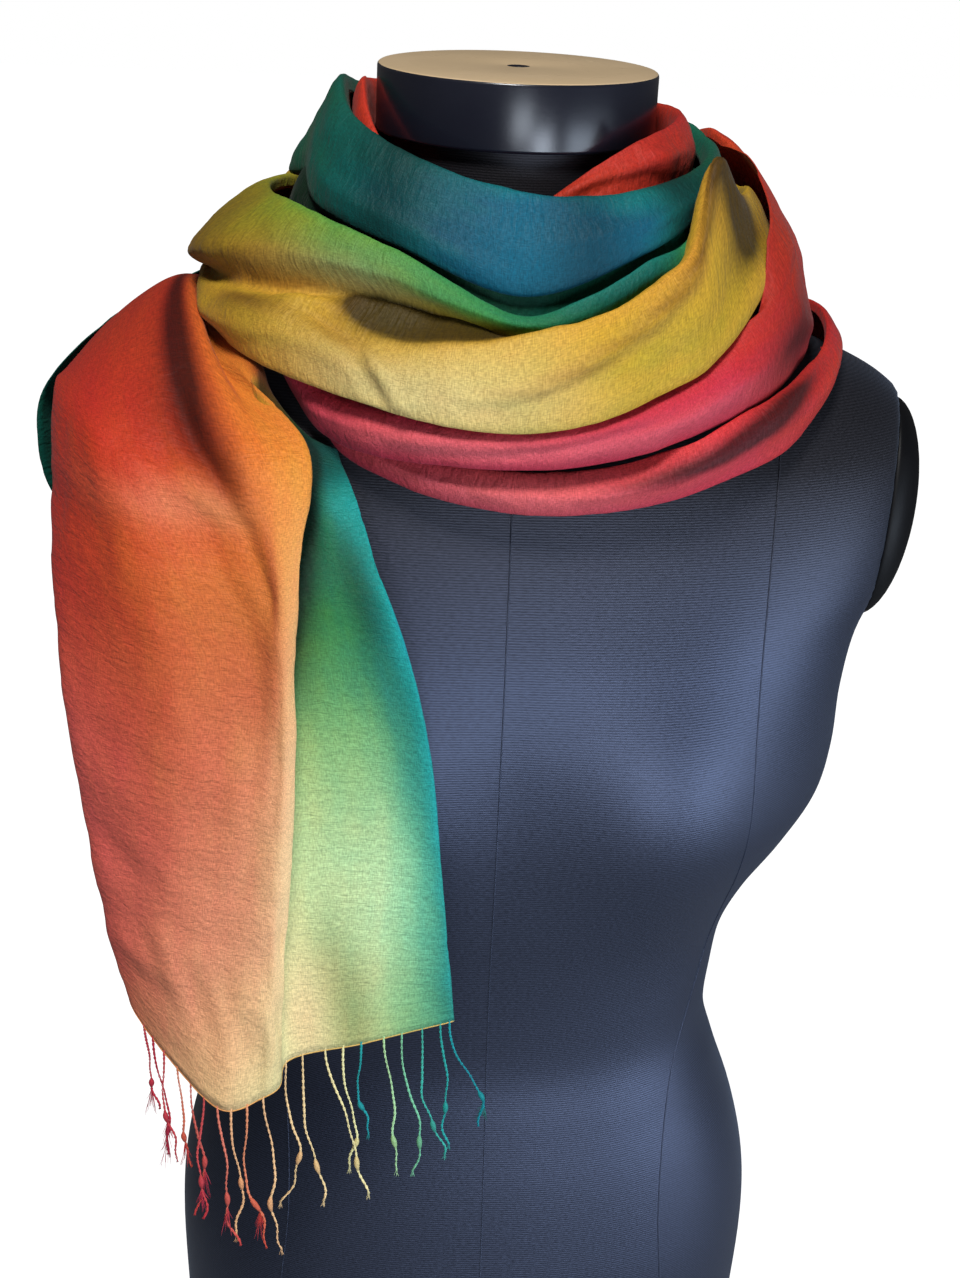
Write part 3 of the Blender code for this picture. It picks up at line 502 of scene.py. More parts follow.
# Finer folds, as lines of x and z seen from the front. A depth above zero is a groove.
Crease = namedtuple("Crease", "points width depth")
FRONT_CREASES = [
    Crease(((-150, 604), (-139, 582), (-125, 566), (-112, 549), (-104, 528), (-99, 505)), 5, 4.0),
    Crease(((-146, 596), (-135, 578), (-122, 566)), 2.6, 1.2),
    Crease(((-152, 592), (-140, 574), (-126, 562)), 2.6, -1.0),
    Crease(((-170, 577), (-153, 566), (-132, 560), (-116, 556), (-108, 548)), 6, -2.6),
    Crease(((-184, 590), (-160, 575), (-138, 566)), 6, 1.4),
    Crease(((-102, 512), (-97, 490), (-98, 455), (-100, 420)), 3, 1.2),
    Crease(((-122, 360), (-112, 320), (-106, 296)), 6, 1.6),
    Crease(((-104, 345), (-98, 320), (-92, 300)), 5, -1.6),
    Crease(((-96, 345), (-92, 320), (-86, 300)), 5, 1.8),
    Crease(((-97, 392), (-91, 358), (-81, 332), (-73, 312), (-69, 302)), 3, 2.8),
    Crease(((-88, 372), (-74, 336), (-64, 310)), 5, -1.8),
    Crease(((-112, 470), (-113, 430), (-118, 390)), 6, -1.2),
    Crease(((-138, 360), (-128, 330), (-124, 312)), 5, 1.4),
    Crease(((-150, 380), (-141, 350), (-136, 330)), 5, -1.2),
    Crease(((-180, 420), (-160, 400), (-140, 392)), 7, 1.2),
    Crease(((-176, 372), (-150, 352), (-132, 345)), 6, -1.2),
]

# Where an end is free to crease and crumple: the rows below the shoulder, and the places
# across the front end's seen layers.
END_FREE_ROWS = ((1.0, 2.0), (0, 1))
FRONT_CREASED_PLACES = ((0.5, 1.2, 5.6, 6.1), (0, 1, 1, 0))
FRONT_LOOSE_PLACES = ((0, 0.8, 5.8, 6.4, 7.6, 8.2, 8.8, 9.2), (0.2, 1, 1, 0, 0, 1, 1, 0))

# Soft folds on a turn, each along a line from one azimuth and place across, counted in
# folds, to another. out is how far it stands out, or lies in where it is below zero.
TurnFold = namedtuple("TurnFold", "azimuth place to_azimuth to_place width out")
INNER_FOLDS = [
    TurnFold(-100, 2.2, -20, 1.7, 3, 1.2),
    TurnFold(8, 1.6, 66, 2.5, 4, 1.8),
    TurnFold(12, 1.3, 32, 1.7, 2.2, -2.0),
    TurnFold(30, 1.68, 66, 1.8, 2.2, -2.6),
    TurnFold(40, 1.3, 56, 2.3, 4, -1.8),
    TurnFold(100, 1.5, 260, 2.2, 5, 1.0),
]
TEAL_FOLDS = [
    TurnFold(-110, 1.6, -30, 2.2, 4, 1.2),
    TurnFold(-70, 2.2, 6, 2.7, 3, -1.3),
    TurnFold(-30, 1.3, 44, 1.8, 4, 1.0),
    TurnFold(4, 1.9, 60, 2.3, 3.5, -1.3),
    TurnFold(60, 1.4, 110, 2.4, 4, 1.2),
    TurnFold(110, 1.4, 240, 2.3, 6, 1.4),
]
UNDER_FOLDS = [
    TurnFold(4, 2.3, 58, 1.3, 5, 2.6),
    TurnFold(8, 1.7, 60, 0.9, 3, -1.6),
]
GOLD_FOLDS = [
    TurnFold(-98, 4.4, -72, 4.2, 6, -2.2),
    TurnFold(-72, 4.3, -48, 4.5, 7, -4.2),
    TurnFold(-48, 3.2, -4, 3.2, 5, -3),
    TurnFold(-66, 3.1, -40, 3.35, 5, 3.5),
    TurnFold(-56, 3.75, -42, 3.6, 4, -3),
    TurnFold(-50, 3.9, -32, 4.2, 4.5, 3.4),
    TurnFold(-32, 4.2, -22, 5.8, 2.6, -2.4),
    TurnFold(-35, 4.4, -26, 5.8, 3.5, 2.0),
    TurnFold(-12, 5.25, 60, 3.9, 2.0, -3.2),
    TurnFold(-12, 4.95, 60, 3.6, 4.5, 1.4),
    TurnFold(-76, 5.6, -34, 5.2, 5, 1.4),
    TurnFold(-80, 1.7, -20, 2.1, 6, 1.5),
    TurnFold(-96, 1.2, -60, 2.4, 5, -1.6),
    TurnFold(20, 5.5, 66, 4.6, 4, 1.2),
    TurnFold(36, 5.7, 74, 5.2, 3.5, -1.4),
    TurnFold(110, 4.6, 250, 5.5, 6, 1.6),
]
CRIMSON_FOLDS = [
    TurnFold(-60, 3.0, 44, 2.2, 4, -1.1),
    TurnFold(-30, 3.5, 60, 2.4, 4, 1.5),
    TurnFold(50, 2.3, 84, 3.4, 5, -2.4),
    TurnFold(62, 2.3, 92, 3.2, 6, 1.6),
    TurnFold(56, 1.6, 96, 1.9, 5, 1.0),
    TurnFold(120, 2.4, 260, 3.4, 7, 1.6),
]
LOWER_FOLDS = [
    TurnFold(12, 2.0, 46, 1.66, 4, -3.0),
    TurnFold(44, 1.68, 68, 1.0, 4, -3.0),
    TurnFold(-50, 1.6, 10, 1.7, 4, 0.8),
    TurnFold(30, 2.8, 62, 2.1, 4, 1.6),
    TurnFold(110, 1.6, 200, 2.4, 7, 1.4),
]
# How far a turn's hidden edge lies in radius and height from its last fold, by azimuth.
Tuck = namedtuple("Tuck", "azimuth out up")
CRIMSON_INNER_TUCK = [
    Tuck(-180, -1, -4),
    Tuck(52, -1, -4),
    Tuck(60, -9.5, 13),
    Tuck(75, -13, 17),
    Tuck(88, -4, 6),
    Tuck(100, -1, -4),
    Tuck(180, -1, -4),
]
LOWER_INNER_TUCK = [
    Tuck(-180, -1, -4),
    Tuck(180, -1, -4),
]
# The teal turn's cloth goes on beneath its crease, in the hollow behind the gold turn.
UNDER_TURN = [
    TurnRow(-180, 82, 668, 86, 658, 86, 640),
    TurnRow(-120, 90, 672, 96, 662, 97, 645),
    TurnRow(-90, 90, 676, 98, 664, 100, 650),
    TurnRow(-60, 90, 670, 97, 658, 99, 642),
    TurnRow(-30, 91, 662, 97, 649, 99, 634),
    TurnRow(0, 91, 648, 95, 635, 95, 619),
    TurnRow(30, 91, 664, 96, 651, 97, 635),
    TurnRow(60, 90, 678, 94, 668, 94, 652),
    TurnRow(90, 85, 676, 89, 666, 90, 650),
    TurnRow(130, 82, 670, 86, 660, 86, 644),
]
# The under layer's darkening is painted shade in the hollow beneath the teal crease, eased where
# the lobe at 25 to 50 degrees catches the light.
UNDER_DYE = [
    TurnDye(-180, 0.8, 0.8, 0.8, 0.8, 0, 0.6),
    TurnDye(0, 0.8, 0.8, 0.8, 0.8, 0, 0.6),
    TurnDye(25, 0.8, 0.82, 0.82, 0.8, 0, 0.15),
    TurnDye(50, 0.8, 0.82, 0.82, 0.8, 0, 0.15),
    TurnDye(90, 0.8, 0.8, 0.8, 0.8, 0, 0.5),
]
TurnPlan = namedtuple(
    "TurnPlan", "name replaces rows dyes spots folds gap_steps inner_tuck under_tuck rests_on"
)
TURN_STATIONS = 288
# Places across are about this far apart when folds are measured out, in millimetres.
FOLD_PITCH = 14.0
FOLD_RADIUS = 118.0
TURN_PLANS = [
    TurnPlan(
        "inner_turn_cloth", "shawl_inner_turn", INNER_TURN, INNER_DYE, [], INNER_FOLDS,
        (6, 14, 16, 5), [Tuck(0, -6, -24)], [Tuck(0, -2, -8)], ["neck_cap", "dress_form"],
    ),
    TurnPlan(
        "teal_turn_cloth", "shawl_teal_turn", TEAL_TURN, TEAL_DYE, [], TEAL_FOLDS,
        (5, 16, 18, 6), [Tuck(0, -4.2, -8)], [Tuck(0, -6, -2)], ["inner_turn_cloth"],
    ),
    TurnPlan(
        "teal_under_cloth", None, UNDER_TURN, UNDER_DYE, [], UNDER_FOLDS,
        (5, 12, 14, 5), [Tuck(0, -3, 2)], [Tuck(0, -2, -6)], ["teal_turn_cloth"],
    ),
    TurnPlan(
        "gold_turn_cloth", "shawl_gold_turn", GOLD_TURN, GOLD_DYE, GOLD_SPOTS, GOLD_FOLDS,
        (5, 14, 14, 12, 16, 18, 6), [Tuck(0, -0.5, -6)], [Tuck(0, -4, 1.5)],
        ["teal_turn_cloth", "crimson_turn_cloth"],
    ),
    TurnPlan(
        "crimson_turn_cloth", "shawl_crimson_turn", CRIMSON_TURN, CRIMSON_DYE, CRIMSON_SPOTS,
        CRIMSON_FOLDS, (8, 12, 16, 16, 6), CRIMSON_INNER_TUCK, [Tuck(0, -5, 1)],
        ["lower_turn_cloth"],
    ),
    TurnPlan(
        "lower_turn_cloth", "shawl_lower_turn", LOWER_TURN, LOWER_DYE, LOWER_SPOTS, LOWER_FOLDS,
        (8, 16, 16, 6), LOWER_INNER_TUCK, [Tuck(0, -5, 1)],
        ["dress_form", "shawl_front_end_cloth", "shawl_back_end_cloth"],
    ),
]
CRUMPLE_SIZE = 22.0
# Each end's crumple comes from its own stretch of the noise.
FRONT_CRUMPLE = 3
BACK_CRUMPLE = 5

# Fringe: each cord's root lies on the hem at x. It hangs by its drop to an end that lies
# to the side of the root, and curls on the way. Twist ends give a tuft's length, or 0.
Cord = namedtuple("Cord", "x drop side curl knot tuft dye pale front")
FRONT_CORDS = [
    Cord(-156, 44, 5, 2, 0.7, 16, 0.06, 0.1, 0),
    Cord(-152, 62, 7, -2, 0.8, 18, 0.05, 0.0, 1),
    Cord(-147, 58, 3, 3, 0.6, 14, 0.08, 0.2, -1),
    Cord(-141, 54, 5, -2, 0.7, 14, 0.26, 0.5, 0),
    Cord(-135, 72, 5, 3, 0.62, 18, 0.16, 0.5, 1),
    Cord(-129, 64, -2, -3, 0.7, 14, 0.1, 0.3, -1),
    Cord(-123, 76, 8, 4, 0.66, 18, 0.2, 0.7, 0),
    Cord(-117, 70, 4, -3, 0.6, 0, 0.34, 0.8, 1),
    Cord(-110, 76, 5, 5, 0.7, 16, 0.3, 0.6, -1),
    Cord(-103, 82, 9, -5, 0.72, 0, 0.36, 0.9, 0),
    Cord(-95, 78, 4, 5, 0.68, 0, 0.4, 0.9, 1),
    Cord(-86, 80, 8, -3, 0.78, 0, 0.42, 0.95, 0),
    Cord(-76, 77, 20, 3, 0.8, 0, 0.5, 0.95, 0),
    Cord(-68, 66, 6, -3, 0.8, 0, 0.54, 1.0, 1),
    Cord(-60, 48, 2, 3, 0.7, 0, 0.95, 0.2, -1),
    Cord(-50, 71, 9, -3, 0.8, 0, 0.7, 0.8, 0),
    Cord(-42, 74, 10, 3, 0.8, 0, 0.78, 0.7, 1),
    Cord(-33, 68, 8, -4, 0.78, 0, 0.88, 0.5, 0),
    Cord(-25, 66, 6, 3, 0.7, 0, 0.92, 0.3, 1),
    Cord(-21, 55, 17, -3, 0.74, 12, 0.96, 0.1, 0),
]
BACK_CORDS = 34
BACK_CORD_DROP = 62.0
BACK_DROP_SPREAD = 0.1
BACK_CORD_SIDE = 4.0
BACK_CORD_CURL = 2.5
# A cord hides its start inside the hem by this much.
ROOT_SINK = 1.2
# Threads in a tuft, and in the tail of a cord without one.
TUFT_THREADS = 16
TAIL_THREADS = 5
TAIL_LENGTH = 4.0
TUFT_FLARE = 3.2
TAIL_FLARE = 1.2
TUFT_SHIFT = 0.12
RED_TUFT_FADE = 0.35
THREAD_SHARE = 0.55
HEM_RADIUS = 0.4
HEM_SIDES = 8
FRONT_HEM_DYE = (0.3, 0.54)
BACK_HEM_DYE = 0.7
CORD_RINGS = 44
STRAND_SIDES = 6
CORD_TURNS = 13
# A cord curls in a long wave with a finer kink in it, and sways to the front and back.
CURL_WAVES = 2.2
KINK_WAVES = 7.0
KINK_SHARE = 0.35
CORD_SWAY = 1.4
CORD_STEP = 1.2
# A knot's radius at its rings, as shares of its full one.
KNOT_SWELL = (0.45, 0.95, 1.1, 0.9, 0.5)
KNOT_SIDES = 8
KNOT_PALE = 0.7
KNOT_DEEP = 0.2
THREAD_RINGS = 7
THREAD_SIDES = 3

# Materials. A scale counts a pattern's cells in a metre, along U and V where it has two.
BLEED_SCALE = 26.0
BLEED_SPREAD = 0.1
STREAK_SCALES = (170.0, 26.0, 1.0)
STREAK_SPREAD = 0.06
# How far a darkening of 1 takes the colour down, for dye and painted shade alike.
DEEP_AND_SHADE_STRENGTH = 0.9
# How much longer than wide a thread's light and dark stretches are, as a share.
THREAD_DRAW = 0.22
WEAVE_SPAN = (0.36, 0.64)
THREAD_CREST_LIGHT = 1.12
THREAD_HEIGHT = 0.4
CRINKLE_SCALES = (150.0, 330.0, 1.0)
CRINKLE_HEIGHT = 4.5
# Slope and start of a roughness over its pattern.
YARN_ROUGHNESS = (-0.14, 0.68)
JERSEY_ROUGHNESS = (0.2, 0.38)
SMEAR_SCALE = 38.0
SMEAR_SPAN = (0.42, 0.78)
SMEAR_ROUGHNESS = 0.35
GRAIN_SCALE = 1600.0
RIBS_PER_METRE = 880.0
WAVES_PER_UNIT = 3.1831
STITCH_SCALES = (700.0, 1400.0, 1.0)
RIB_SHARE = 0.35
KNIT_SPAN = (0.25, 0.75)
KNIT_LIGHT = (0.55, 1.35)
# Heights in metres between which the jersey turns to the shoulders' darker colour: painted
# shade under the collar, with a painted warm reflection.
COLLAR_SHADE_FADE = (0.47, 0.56)
CLOTH_BUMP = 0.0004
YARN_BUMP = 0.0002
FRINGE_FIBRES = 4000.0
MEAN_FORM_RADIUS = 120.0
FORM_SHARP_ANGLE = math.radians(38)

# Studio
FLOOR_SIZE = 12.0
FLOOR_DROP = 0.0005
FLOOR_GRAIN_SPAN = (0.3, 0.7)
FLOOR_GRAIN_LIGHT = 0.985
Lamp = namedtuple("Lamp", "name place target size colour")
LAMPS = [
    Lamp("key", (-0.22, -0.9, 1.86), (0, 0, 0.45), 0.34, (1.0, 0.99, 0.97)),
    Lamp("fill", (0.95, -0.62, 0.08), (0, 0, 0.34), 0.8, (0.72, 0.84, 1.0)),
    Lamp("low", (0.02, -1.3, 0.5), (0, 0, 0.65), 0.32, (0.8, 0.89, 1.0)),
    Lamp("bust", (0.36, -1.1, 0.3), (0.05, 0, 0.4), 0.3, (0.76, 0.86, 1.0)),
]
CAMERA_TILT = math.radians(22.3)
CAMERA_ROLL = math.radians(-2.7)
CAMERA_TURN = math.radians(-4.0)
CAMERA_DISTANCE = 0.909
CAMERA_HEIGHT = 0.82
CAMERA_SHIFT = -0.005
SENSOR_WIDTH = 36.0
# The photo's focal length and its long side, in its own pixels.
FOCAL_PIXELS = 2000
LONG_SIDE_PIXELS = 1278
LENS = SENSOR_WIDTH * FOCAL_PIXELS / LONG_SIDE_PIXELS


def deselect_all():
    for thing in bpy.context.scene.objects:
        thing.select_set(False)
    bpy.context.view_layer.objects.active = None


def spline(points, steps):
    """A centripetal Catmull-Rom curve, with so many steps from each given point to the next."""
    points = np.asarray(points, float)
    gaps = len(points) - 1
    steps = (steps,) * gaps if isinstance(steps, int) else steps
    before = 2 * points[0] - points[1]
    after = 2 * points[-1] - points[-2]
    line = np.vstack([[before], points, [after]])
    curve = []
    for corners, count in zip(zip(line, line[1:], line[2:], line[3:]), steps):
        knots = [0.0]
        for p, q in zip(corners, corners[1:]):
            knots.append(knots[-1] + max(np.linalg.norm(q - p), 1e-6) ** 0.5)
        for i in range(count):
            t = knots[1] + (knots[2] - knots[1]) * i / count
            level = corners
            for reach in (1, 2):
                spans = zip(level, level[1:], knots, knots[reach:])
                level = [p + (q - p) * (t - a) / (b - a) for p, q, a, b in spans]
            share = (t - knots[1]) / (knots[2] - knots[1])
            curve.append(level[0] + (level[1] - level[0]) * share)
    curve.append(points[-1])
    return np.array(curve)


def smooth_between(stations, values, wanted):
    """Values at the wanted stations, on a smooth curve through the given ones."""
    slopes = np.gradient(values, stations, axis=0)
    place = np.clip(np.searchsorted(stations, wanted, "right") - 1, 0, len(stations) - 2)
    width = (stations[place + 1] - stations[place])[:, None]
    t = (wanted - stations[place])[:, None] / width
    start = values[place] * (2 * t**3 - 3 * t**2 + 1)
    start += slopes[place] * width * (t**3 - 2 * t**2 + t)
    end = values[place + 1] * (3 * t**2 - 2 * t**3)
    end += slopes[place + 1] * width * (t**3 - t**2)
    return start + end


def round_table(rows):
    """A table by azimuth, with the rows at its ends repeated on the other side of the join."""
    table = np.array(rows, float)
    given = np.concatenate([table[-2:, 0] - 360, table[:, 0], table[:2, 0] + 360])
    values = np.vstack([table[-2:, 1:], table[:, 1:], table[:2, 1:]])
    return given, values


def fold_places(gap_steps):
    """The place of each point across a piece, counted in folds."""
    places = [k + i / count for k, count in enumerate(gap_steps) for i in range(count)]
    return np.array(places + [len(gap_steps)])


def tuck_offsets(tucks, azimuths):
    """A tuck's radius and height from its last fold, at each azimuth."""
    table = np.array(tucks, float)
    return np.stack([np.interp(azimuths, table[:, 0], table[:, k]) for k in (1, 2)], 1)


def turn_sheet(plan):
    """A turn's points, azimuths by places across, with its azimuths and places in folds."""
    azimuths = np.linspace(-180, 180, TURN_STATIONS + 1)
    sections = smooth_between(*round_table(plan.rows), azimuths).reshape(len(azimuths), -1, 2)
    inner = tuck_offsets(plan.inner_tuck, azimuths)
    under = tuck_offsets(plan.under_tuck, azimuths)
    grid = []
    for k, azimuth in enumerate(np.radians(azimuths)):
        folds = sections[k]
        line = np.vstack([[folds[0] + inner[k]], folds, [folds[-1] + under[k]]])
        radii, heights = spline(line, plan.gap_steps).T
        grid.append(np.stack([radii * math.sin(azimuth), -radii * math.cos(azimuth), heights], 1))
    return np.array(grid), azimuths, fold_places(plan.gap_steps)


def front_end_sheet():
    """The front end's points, stations down by places across."""
    stations = [
        [(start.under_x, start.under_y, start.under_z) for start in FRONT_END_STARTS],
        [(start.over_x, start.over_y, start.over_z) for start in FRONT_END_STARTS],
    ]
    for row in FRONT_END_ROWS:
        belly_x = 0.5 * (row.left_x + row.crease_x)
        left_y = row.front_y + row.left_back
        low_z = row.z - row.behind_drop
        places = {
            "turned_in": (row.left_x + TURNED_IN_X, left_y + TURNED_IN_Y, row.z),
            "left": (row.left_x, left_y, row.z),
            "belly": (belly_x, row.front_y + BELLY_BACK_SHARE * row.left_back, row.z),
            "crease": (row.crease_x, row.front_y + row.crease_in, row.z),
            "ridge": (row.ridge_x, row.front_y - FACE_OUT, row.z),
            "face": (0.5 * (row.ridge_x + row.fold_x), row.front_y - FACE_OUT, row.z),
            "fold": (row.fold_x, row.front_y + FOLD_LAYER * row.layer, row.z),
            "tuck": (
                row.fold_x + TUCK_REACH * (row.tuck_x - row.fold_x),
                row.front_y + TUCK_LAYER * row.layer,
                0.5 * (row.z + low_z),
            ),
            "valley": (row.valley_x, row.front_y + VALLEY_LAYER * row.layer, low_z),
            "right": (row.right_x, row.front_y + VALLEY_LAYER * row.layer, low_z),
            "turned_back": (row.back_x, row.front_y + TURNED_BACK_LAYER * row.layer, low_z),
        }
        stations.append(list(places.values()))
    for fold, rise in enumerate(HEM_RISE.values()):
        x, y, z = stations[-1][fold]
        stations[-1][fold] = (x, y, z + rise)
    folds = np.array(stations, float)
    lines = np.stack([spline(folds[:, k], END_ROW_STEPS) for k in range(folds.shape[1])], 1)
    grid = np.array([spline(line, END_GAP_STEPS) for line in lines])
    rows_down = fold_places((END_ROW_STEPS,) * (len(stations) - 1))
    return grid, rows_down, fold_places(END_GAP_STEPS)


def back_end_sheet():
    """The back end's points, in waves as wide as a sixth of its flat part."""
    stations = []
    for row in BACK_END_ROWS:
        span = row.inner_x - row.corner_x
        points = [(row.outer_x, row.outer_y), (row.corner_x, row.corner_y)]
        for number in range(1, BACK_END_WAVES):
            share = number / BACK_END_WAVES
            depth = np.interp(share, (0, 0.5, 1), (row.corner_y, row.middle_y, row.inner_y))
            points.append((row.corner_x + span * share, depth + row.wave * (-1) ** number))
        points.append((row.inner_x, row.inner_y))
        stations.append([(x, y, row.z) for x, y in points])
    folds = np.array(stations, float)
    lines = np.stack([spline(folds[:, k], BACK_ROW_STEPS) for k in range(folds.shape[1])], 1)
    grid = np.array([spline(line, BACK_GAP_STEPS) for line in lines])
    rows_down = fold_places((BACK_ROW_STEPS,) * (len(stations) - 1))
    return grid, rows_down, fold_places((BACK_GAP_STEPS,) * (folds.shape[1] - 1))


def grid_normals(grid):
    """Unit normals of a grid of points, which point away from the cloth's back."""
    along = np.gradient(grid, axis=0)
    across = np.gradient(grid, axis=1)
    normals = np.cross(along, across)
    return normals / np.maximum(np.linalg.norm(normals, axis=2, keepdims=True), 1e-9)


def lengths_along(line):
    """How far along a line each of its points lies."""
    return np.concatenate([[0], np.cumsum(np.linalg.norm(np.diff(line, axis=0), axis=1))])


def polyline_distance(points, line):
    """Each point's distance from a line of x and z, and how far along the line it lies."""
    line = np.asarray(line, float)
    starts = lengths_along(line)
    best = np.full(points.shape[:-1], 1e9)
    share = np.zeros(points.shape[:-1])
    for a, b, length, start in zip(line, line[1:], np.diff(starts), starts):
        t = np.clip(((points - a) @ (b - a)) / length**2, 0, 1)
        gap = np.linalg.norm(points - a - t[..., None] * (b - a), axis=-1)
        nearer = gap < best
        best = np.where(nearer, gap, best)
        share = np.where(nearer, (start + t * length) / starts[-1], share)
    return best, share


def add_creases(grid, creases, layer):
    """Presses the creases into the grid where layer is above zero."""
    normals = grid_normals(grid)
    seen = grid[..., (0, 2)]
    for crease in creases:
        gap, share = polyline_distance(seen, crease.points)
        fade = np.clip(np.sin(np.pi * np.clip(share, 0.02, 0.98)) * 1.6, 0, 1)
        push = crease.depth * np.exp(-((gap / crease.width) ** 2)) * fade * layer
        grid = grid - normals * push[..., None]
    return grid


def add_crumple(grid, size, depth, seed):
    """Moves the grid in and out a little, as slack cloth lies."""
    normals = grid_normals(grid)
    moves = np.zeros(grid.shape[:2])
    for i, line in enumerate(grid):
        for j, point in enumerate(line):
            place = Vector(point) / size + Vector((seed, 2.0 * seed, 0))
            moves[i, j] = noise.fractal(place, 1.0, 2.0, 3)
    return grid + normals * (depth * moves)[..., None]


def cloth_sheet(name, grid, material, paint, wall):
    """A sheet through the grid's points in millimetres, with its UV map in metres.

    paint holds an array for each attribute that the material reads.
    """
    along, across = grid.shape[:2]
    points = grid.reshape(-1, 3) * MM
    faces = []
    for i in range(along - 1):
        for j in range(across - 1):
            near = i * across + j
            faces.append((near, near + 1, near + across + 1, near + across))
    mesh = bpy.data.meshes.new(name)
    mesh.from_pydata(points.tolist(), [], faces)
    step_along = np.linalg.norm(np.diff(grid, axis=0), axis=2).mean(axis=1) * MM
    step_across = np.linalg.norm(np.diff(grid, axis=1), axis=2).mean(axis=0) * MM
    v = np.concatenate([[0], np.cumsum(step_along)])
    u = np.concatenate([[0], np.cumsum(step_across)])
    flat = np.stack(np.meshgrid(u, v), -1).reshape(-1, 2)
    layer = mesh.uv_layers.new(name="UVMap")
    corners = np.zeros(len(mesh.loops), np.int32)
    mesh.loops.foreach_get("vertex_index", corners)
    layer.data.foreach_set("uv", flat[corners].astype(np.float32).ravel())
    for key, values in paint.items():
        attribute = mesh.attributes.new(key, "FLOAT", "POINT")
        attribute.data.foreach_set("value", values.astype(np.float32).ravel())
    mesh.materials.append(material)
    mesh.shade_smooth()
    thing = bpy.data.objects.new(name, mesh)
    bpy.context.scene.collection.objects.link(thing)
    solidify = thing.modifiers.new("wall", "SOLIDIFY")
    solidify.thickness = wall
    solidify.offset = 0.0
    return thing, (float(u[-1]), float(v[-1]))


def close_seam(thing):
    """Joins the two ends of a sheet that goes all the way round."""
    shape = bmesh.new()
    shape.from_mesh(thing.data)
    bmesh.ops.remove_doubles(shape, verts=shape.verts, dist=1e-6)
    shape.to_mesh(thing.data)
    shape.free()


def add_spots(paint, alongs, places, spots, full_turn=None):
    """Adds the spots to the paint of a grid."""
    for spot in spots:
        gap = alongs - spot.along
        if full_turn:
            gap = np.mod(gap + full_turn / 2, full_turn) - full_turn / 2
        reach = np.hypot(
            (gap / spot.reach_along)[:, None], ((places - spot.across) / spot.reach_across)[None, :]
        )
        share = np.exp(-(reach**2))
        paint["dye"] = paint["dye"] + spot.dye * share
        paint["pale"] = np.clip(paint["pale"] + spot.pale * share, 0, 1)
        paint["deep"] = np.clip(paint["deep"] + spot.deep * share, 0, 1)
    return paint


def turn_paint(plan, azimuths, places):
    """Dye, pale and darkening at each point of a turn; the darkening is dye and painted shade."""
    values = smooth_between(*round_table(plan.dyes), azimuths)
    folds = values.shape[1] - 2
    dye = np.array([np.interp(places, np.arange(folds), row[:folds]) for row in values])
    pale = np.repeat(values[:, -2:-1], len(places), axis=1)
    deep = np.repeat(values[:, -1:], len(places), axis=1)
    return add_spots({"dye": dye, "pale": pale, "deep": deep}, azimuths, places, plan.spots, 360)


def front_paint(rows_down, places):
    """Dye, pale and darkening at each point of the front end; the darkening is dye and painted
    shade.
    """
    paint = {}
    for key, table in (("dye", FRONT_DYE), ("pale", FRONT_PALE), ("deep", FRONT_DEEP_AND_SHADE)):
        values = np.array(table, float)
        down = smooth_between(values[:, 0], values[:, 1:], rows_down)
        paint[key] = np.array([np.interp(places, END_DYE_FOLDS, row) for row in down])
    return add_spots(paint, rows_down, places, FRONT_SPOTS)


def shade(red, green, blue):
    """A screen colour as the linear one that a shader takes."""
    parts = [channel / 255 for channel in (red, green, blue)]
    return tuple(p / 12.92 if p <= 0.04045 else ((p + 0.055) / 1.055) ** 2.4 for p in parts)


# Colours along the dye, at full strength and washed pale.
DYE_STOPS = (
    (0.0, shade(176, 36, 66)),
    (0.08, shade(188, 40, 50)),
    (0.16, shade(192, 44, 32)),
    (0.26, shade(204, 74, 34)),
    (0.36, shade(222, 122, 44)),
    (0.44, shade(206, 146, 50)),
    (0.52, shade(188, 148, 40)),
    (0.6, shade(150, 144, 32)),
    (0.68, shade(86, 152, 52)),
    (0.76, shade(30, 118, 70)),
    (0.85, shade(8, 92, 84)),
    (0.93, shade(16, 150, 142)),
    (1.0, shade(12, 96, 134)),
)
PALE_STOPS = (
    (0.0, shade(218, 112, 118)),
    (0.2, shade(216, 124, 100)),
    (0.36, shade(240, 198, 146)),
    (0.5, shade(228, 216, 160)),
    (0.6, shade(222, 222, 160)),
    (0.68, shade(196, 226, 168)),
    (0.8, shade(110, 204, 164)),
    (0.93, shade(40, 190, 178)),
    (1.0, shade(50, 150, 180)),
)


LACQUER_DUST = shade(40, 42, 52)
# The cap top's dust colour is beige: dust, with a painted reflection of warm room light.
CAP_TOP_DUST_AND_REFLECTION = shade(186, 164, 134)
PLATE_BLACK = shade(6, 6, 8)
PLATE_DUST = shade(14, 13, 13)


def add_node(tree, kind, inputs=(), **settings):
    """A shader node with its settings. inputs pairs a socket with a value or a source."""
    node = tree.nodes.new(kind)
    for key, value in settings.items():
        setattr(node, key, value)
    for socket, value in dict(inputs).items():
        if isinstance(value, bpy.types.NodeSocket):
            tree.links.new(value, node.inputs[socket])
        else:
            node.inputs[socket].default_value = value
    return node


def add_maths(tree, operation, first, second=0.5, third=0.5):
    """The result of a sum on one to three values."""
    node = add_node(tree, "ShaderNodeMath", {0: first, 1: second, 2: third}, operation=operation)
    return node.outputs[0]


def add_mix(tree, share, first, second, blend="MIX"):
    """The colour between two colours."""
    node = add_node(tree, "ShaderNodeMix", {0: share, 6: first, 7: second}, data_type="RGBA")
    node.blend_type = blend
    return node.outputs[2]


def add_noise(tree, place, scale, detail, **inputs):
    """A noise value over the place."""
    sockets = {"Vector": place, "Scale": scale, "Detail": detail, **inputs}
    return add_node(tree, "ShaderNodeTexNoise", sockets).outputs[0]


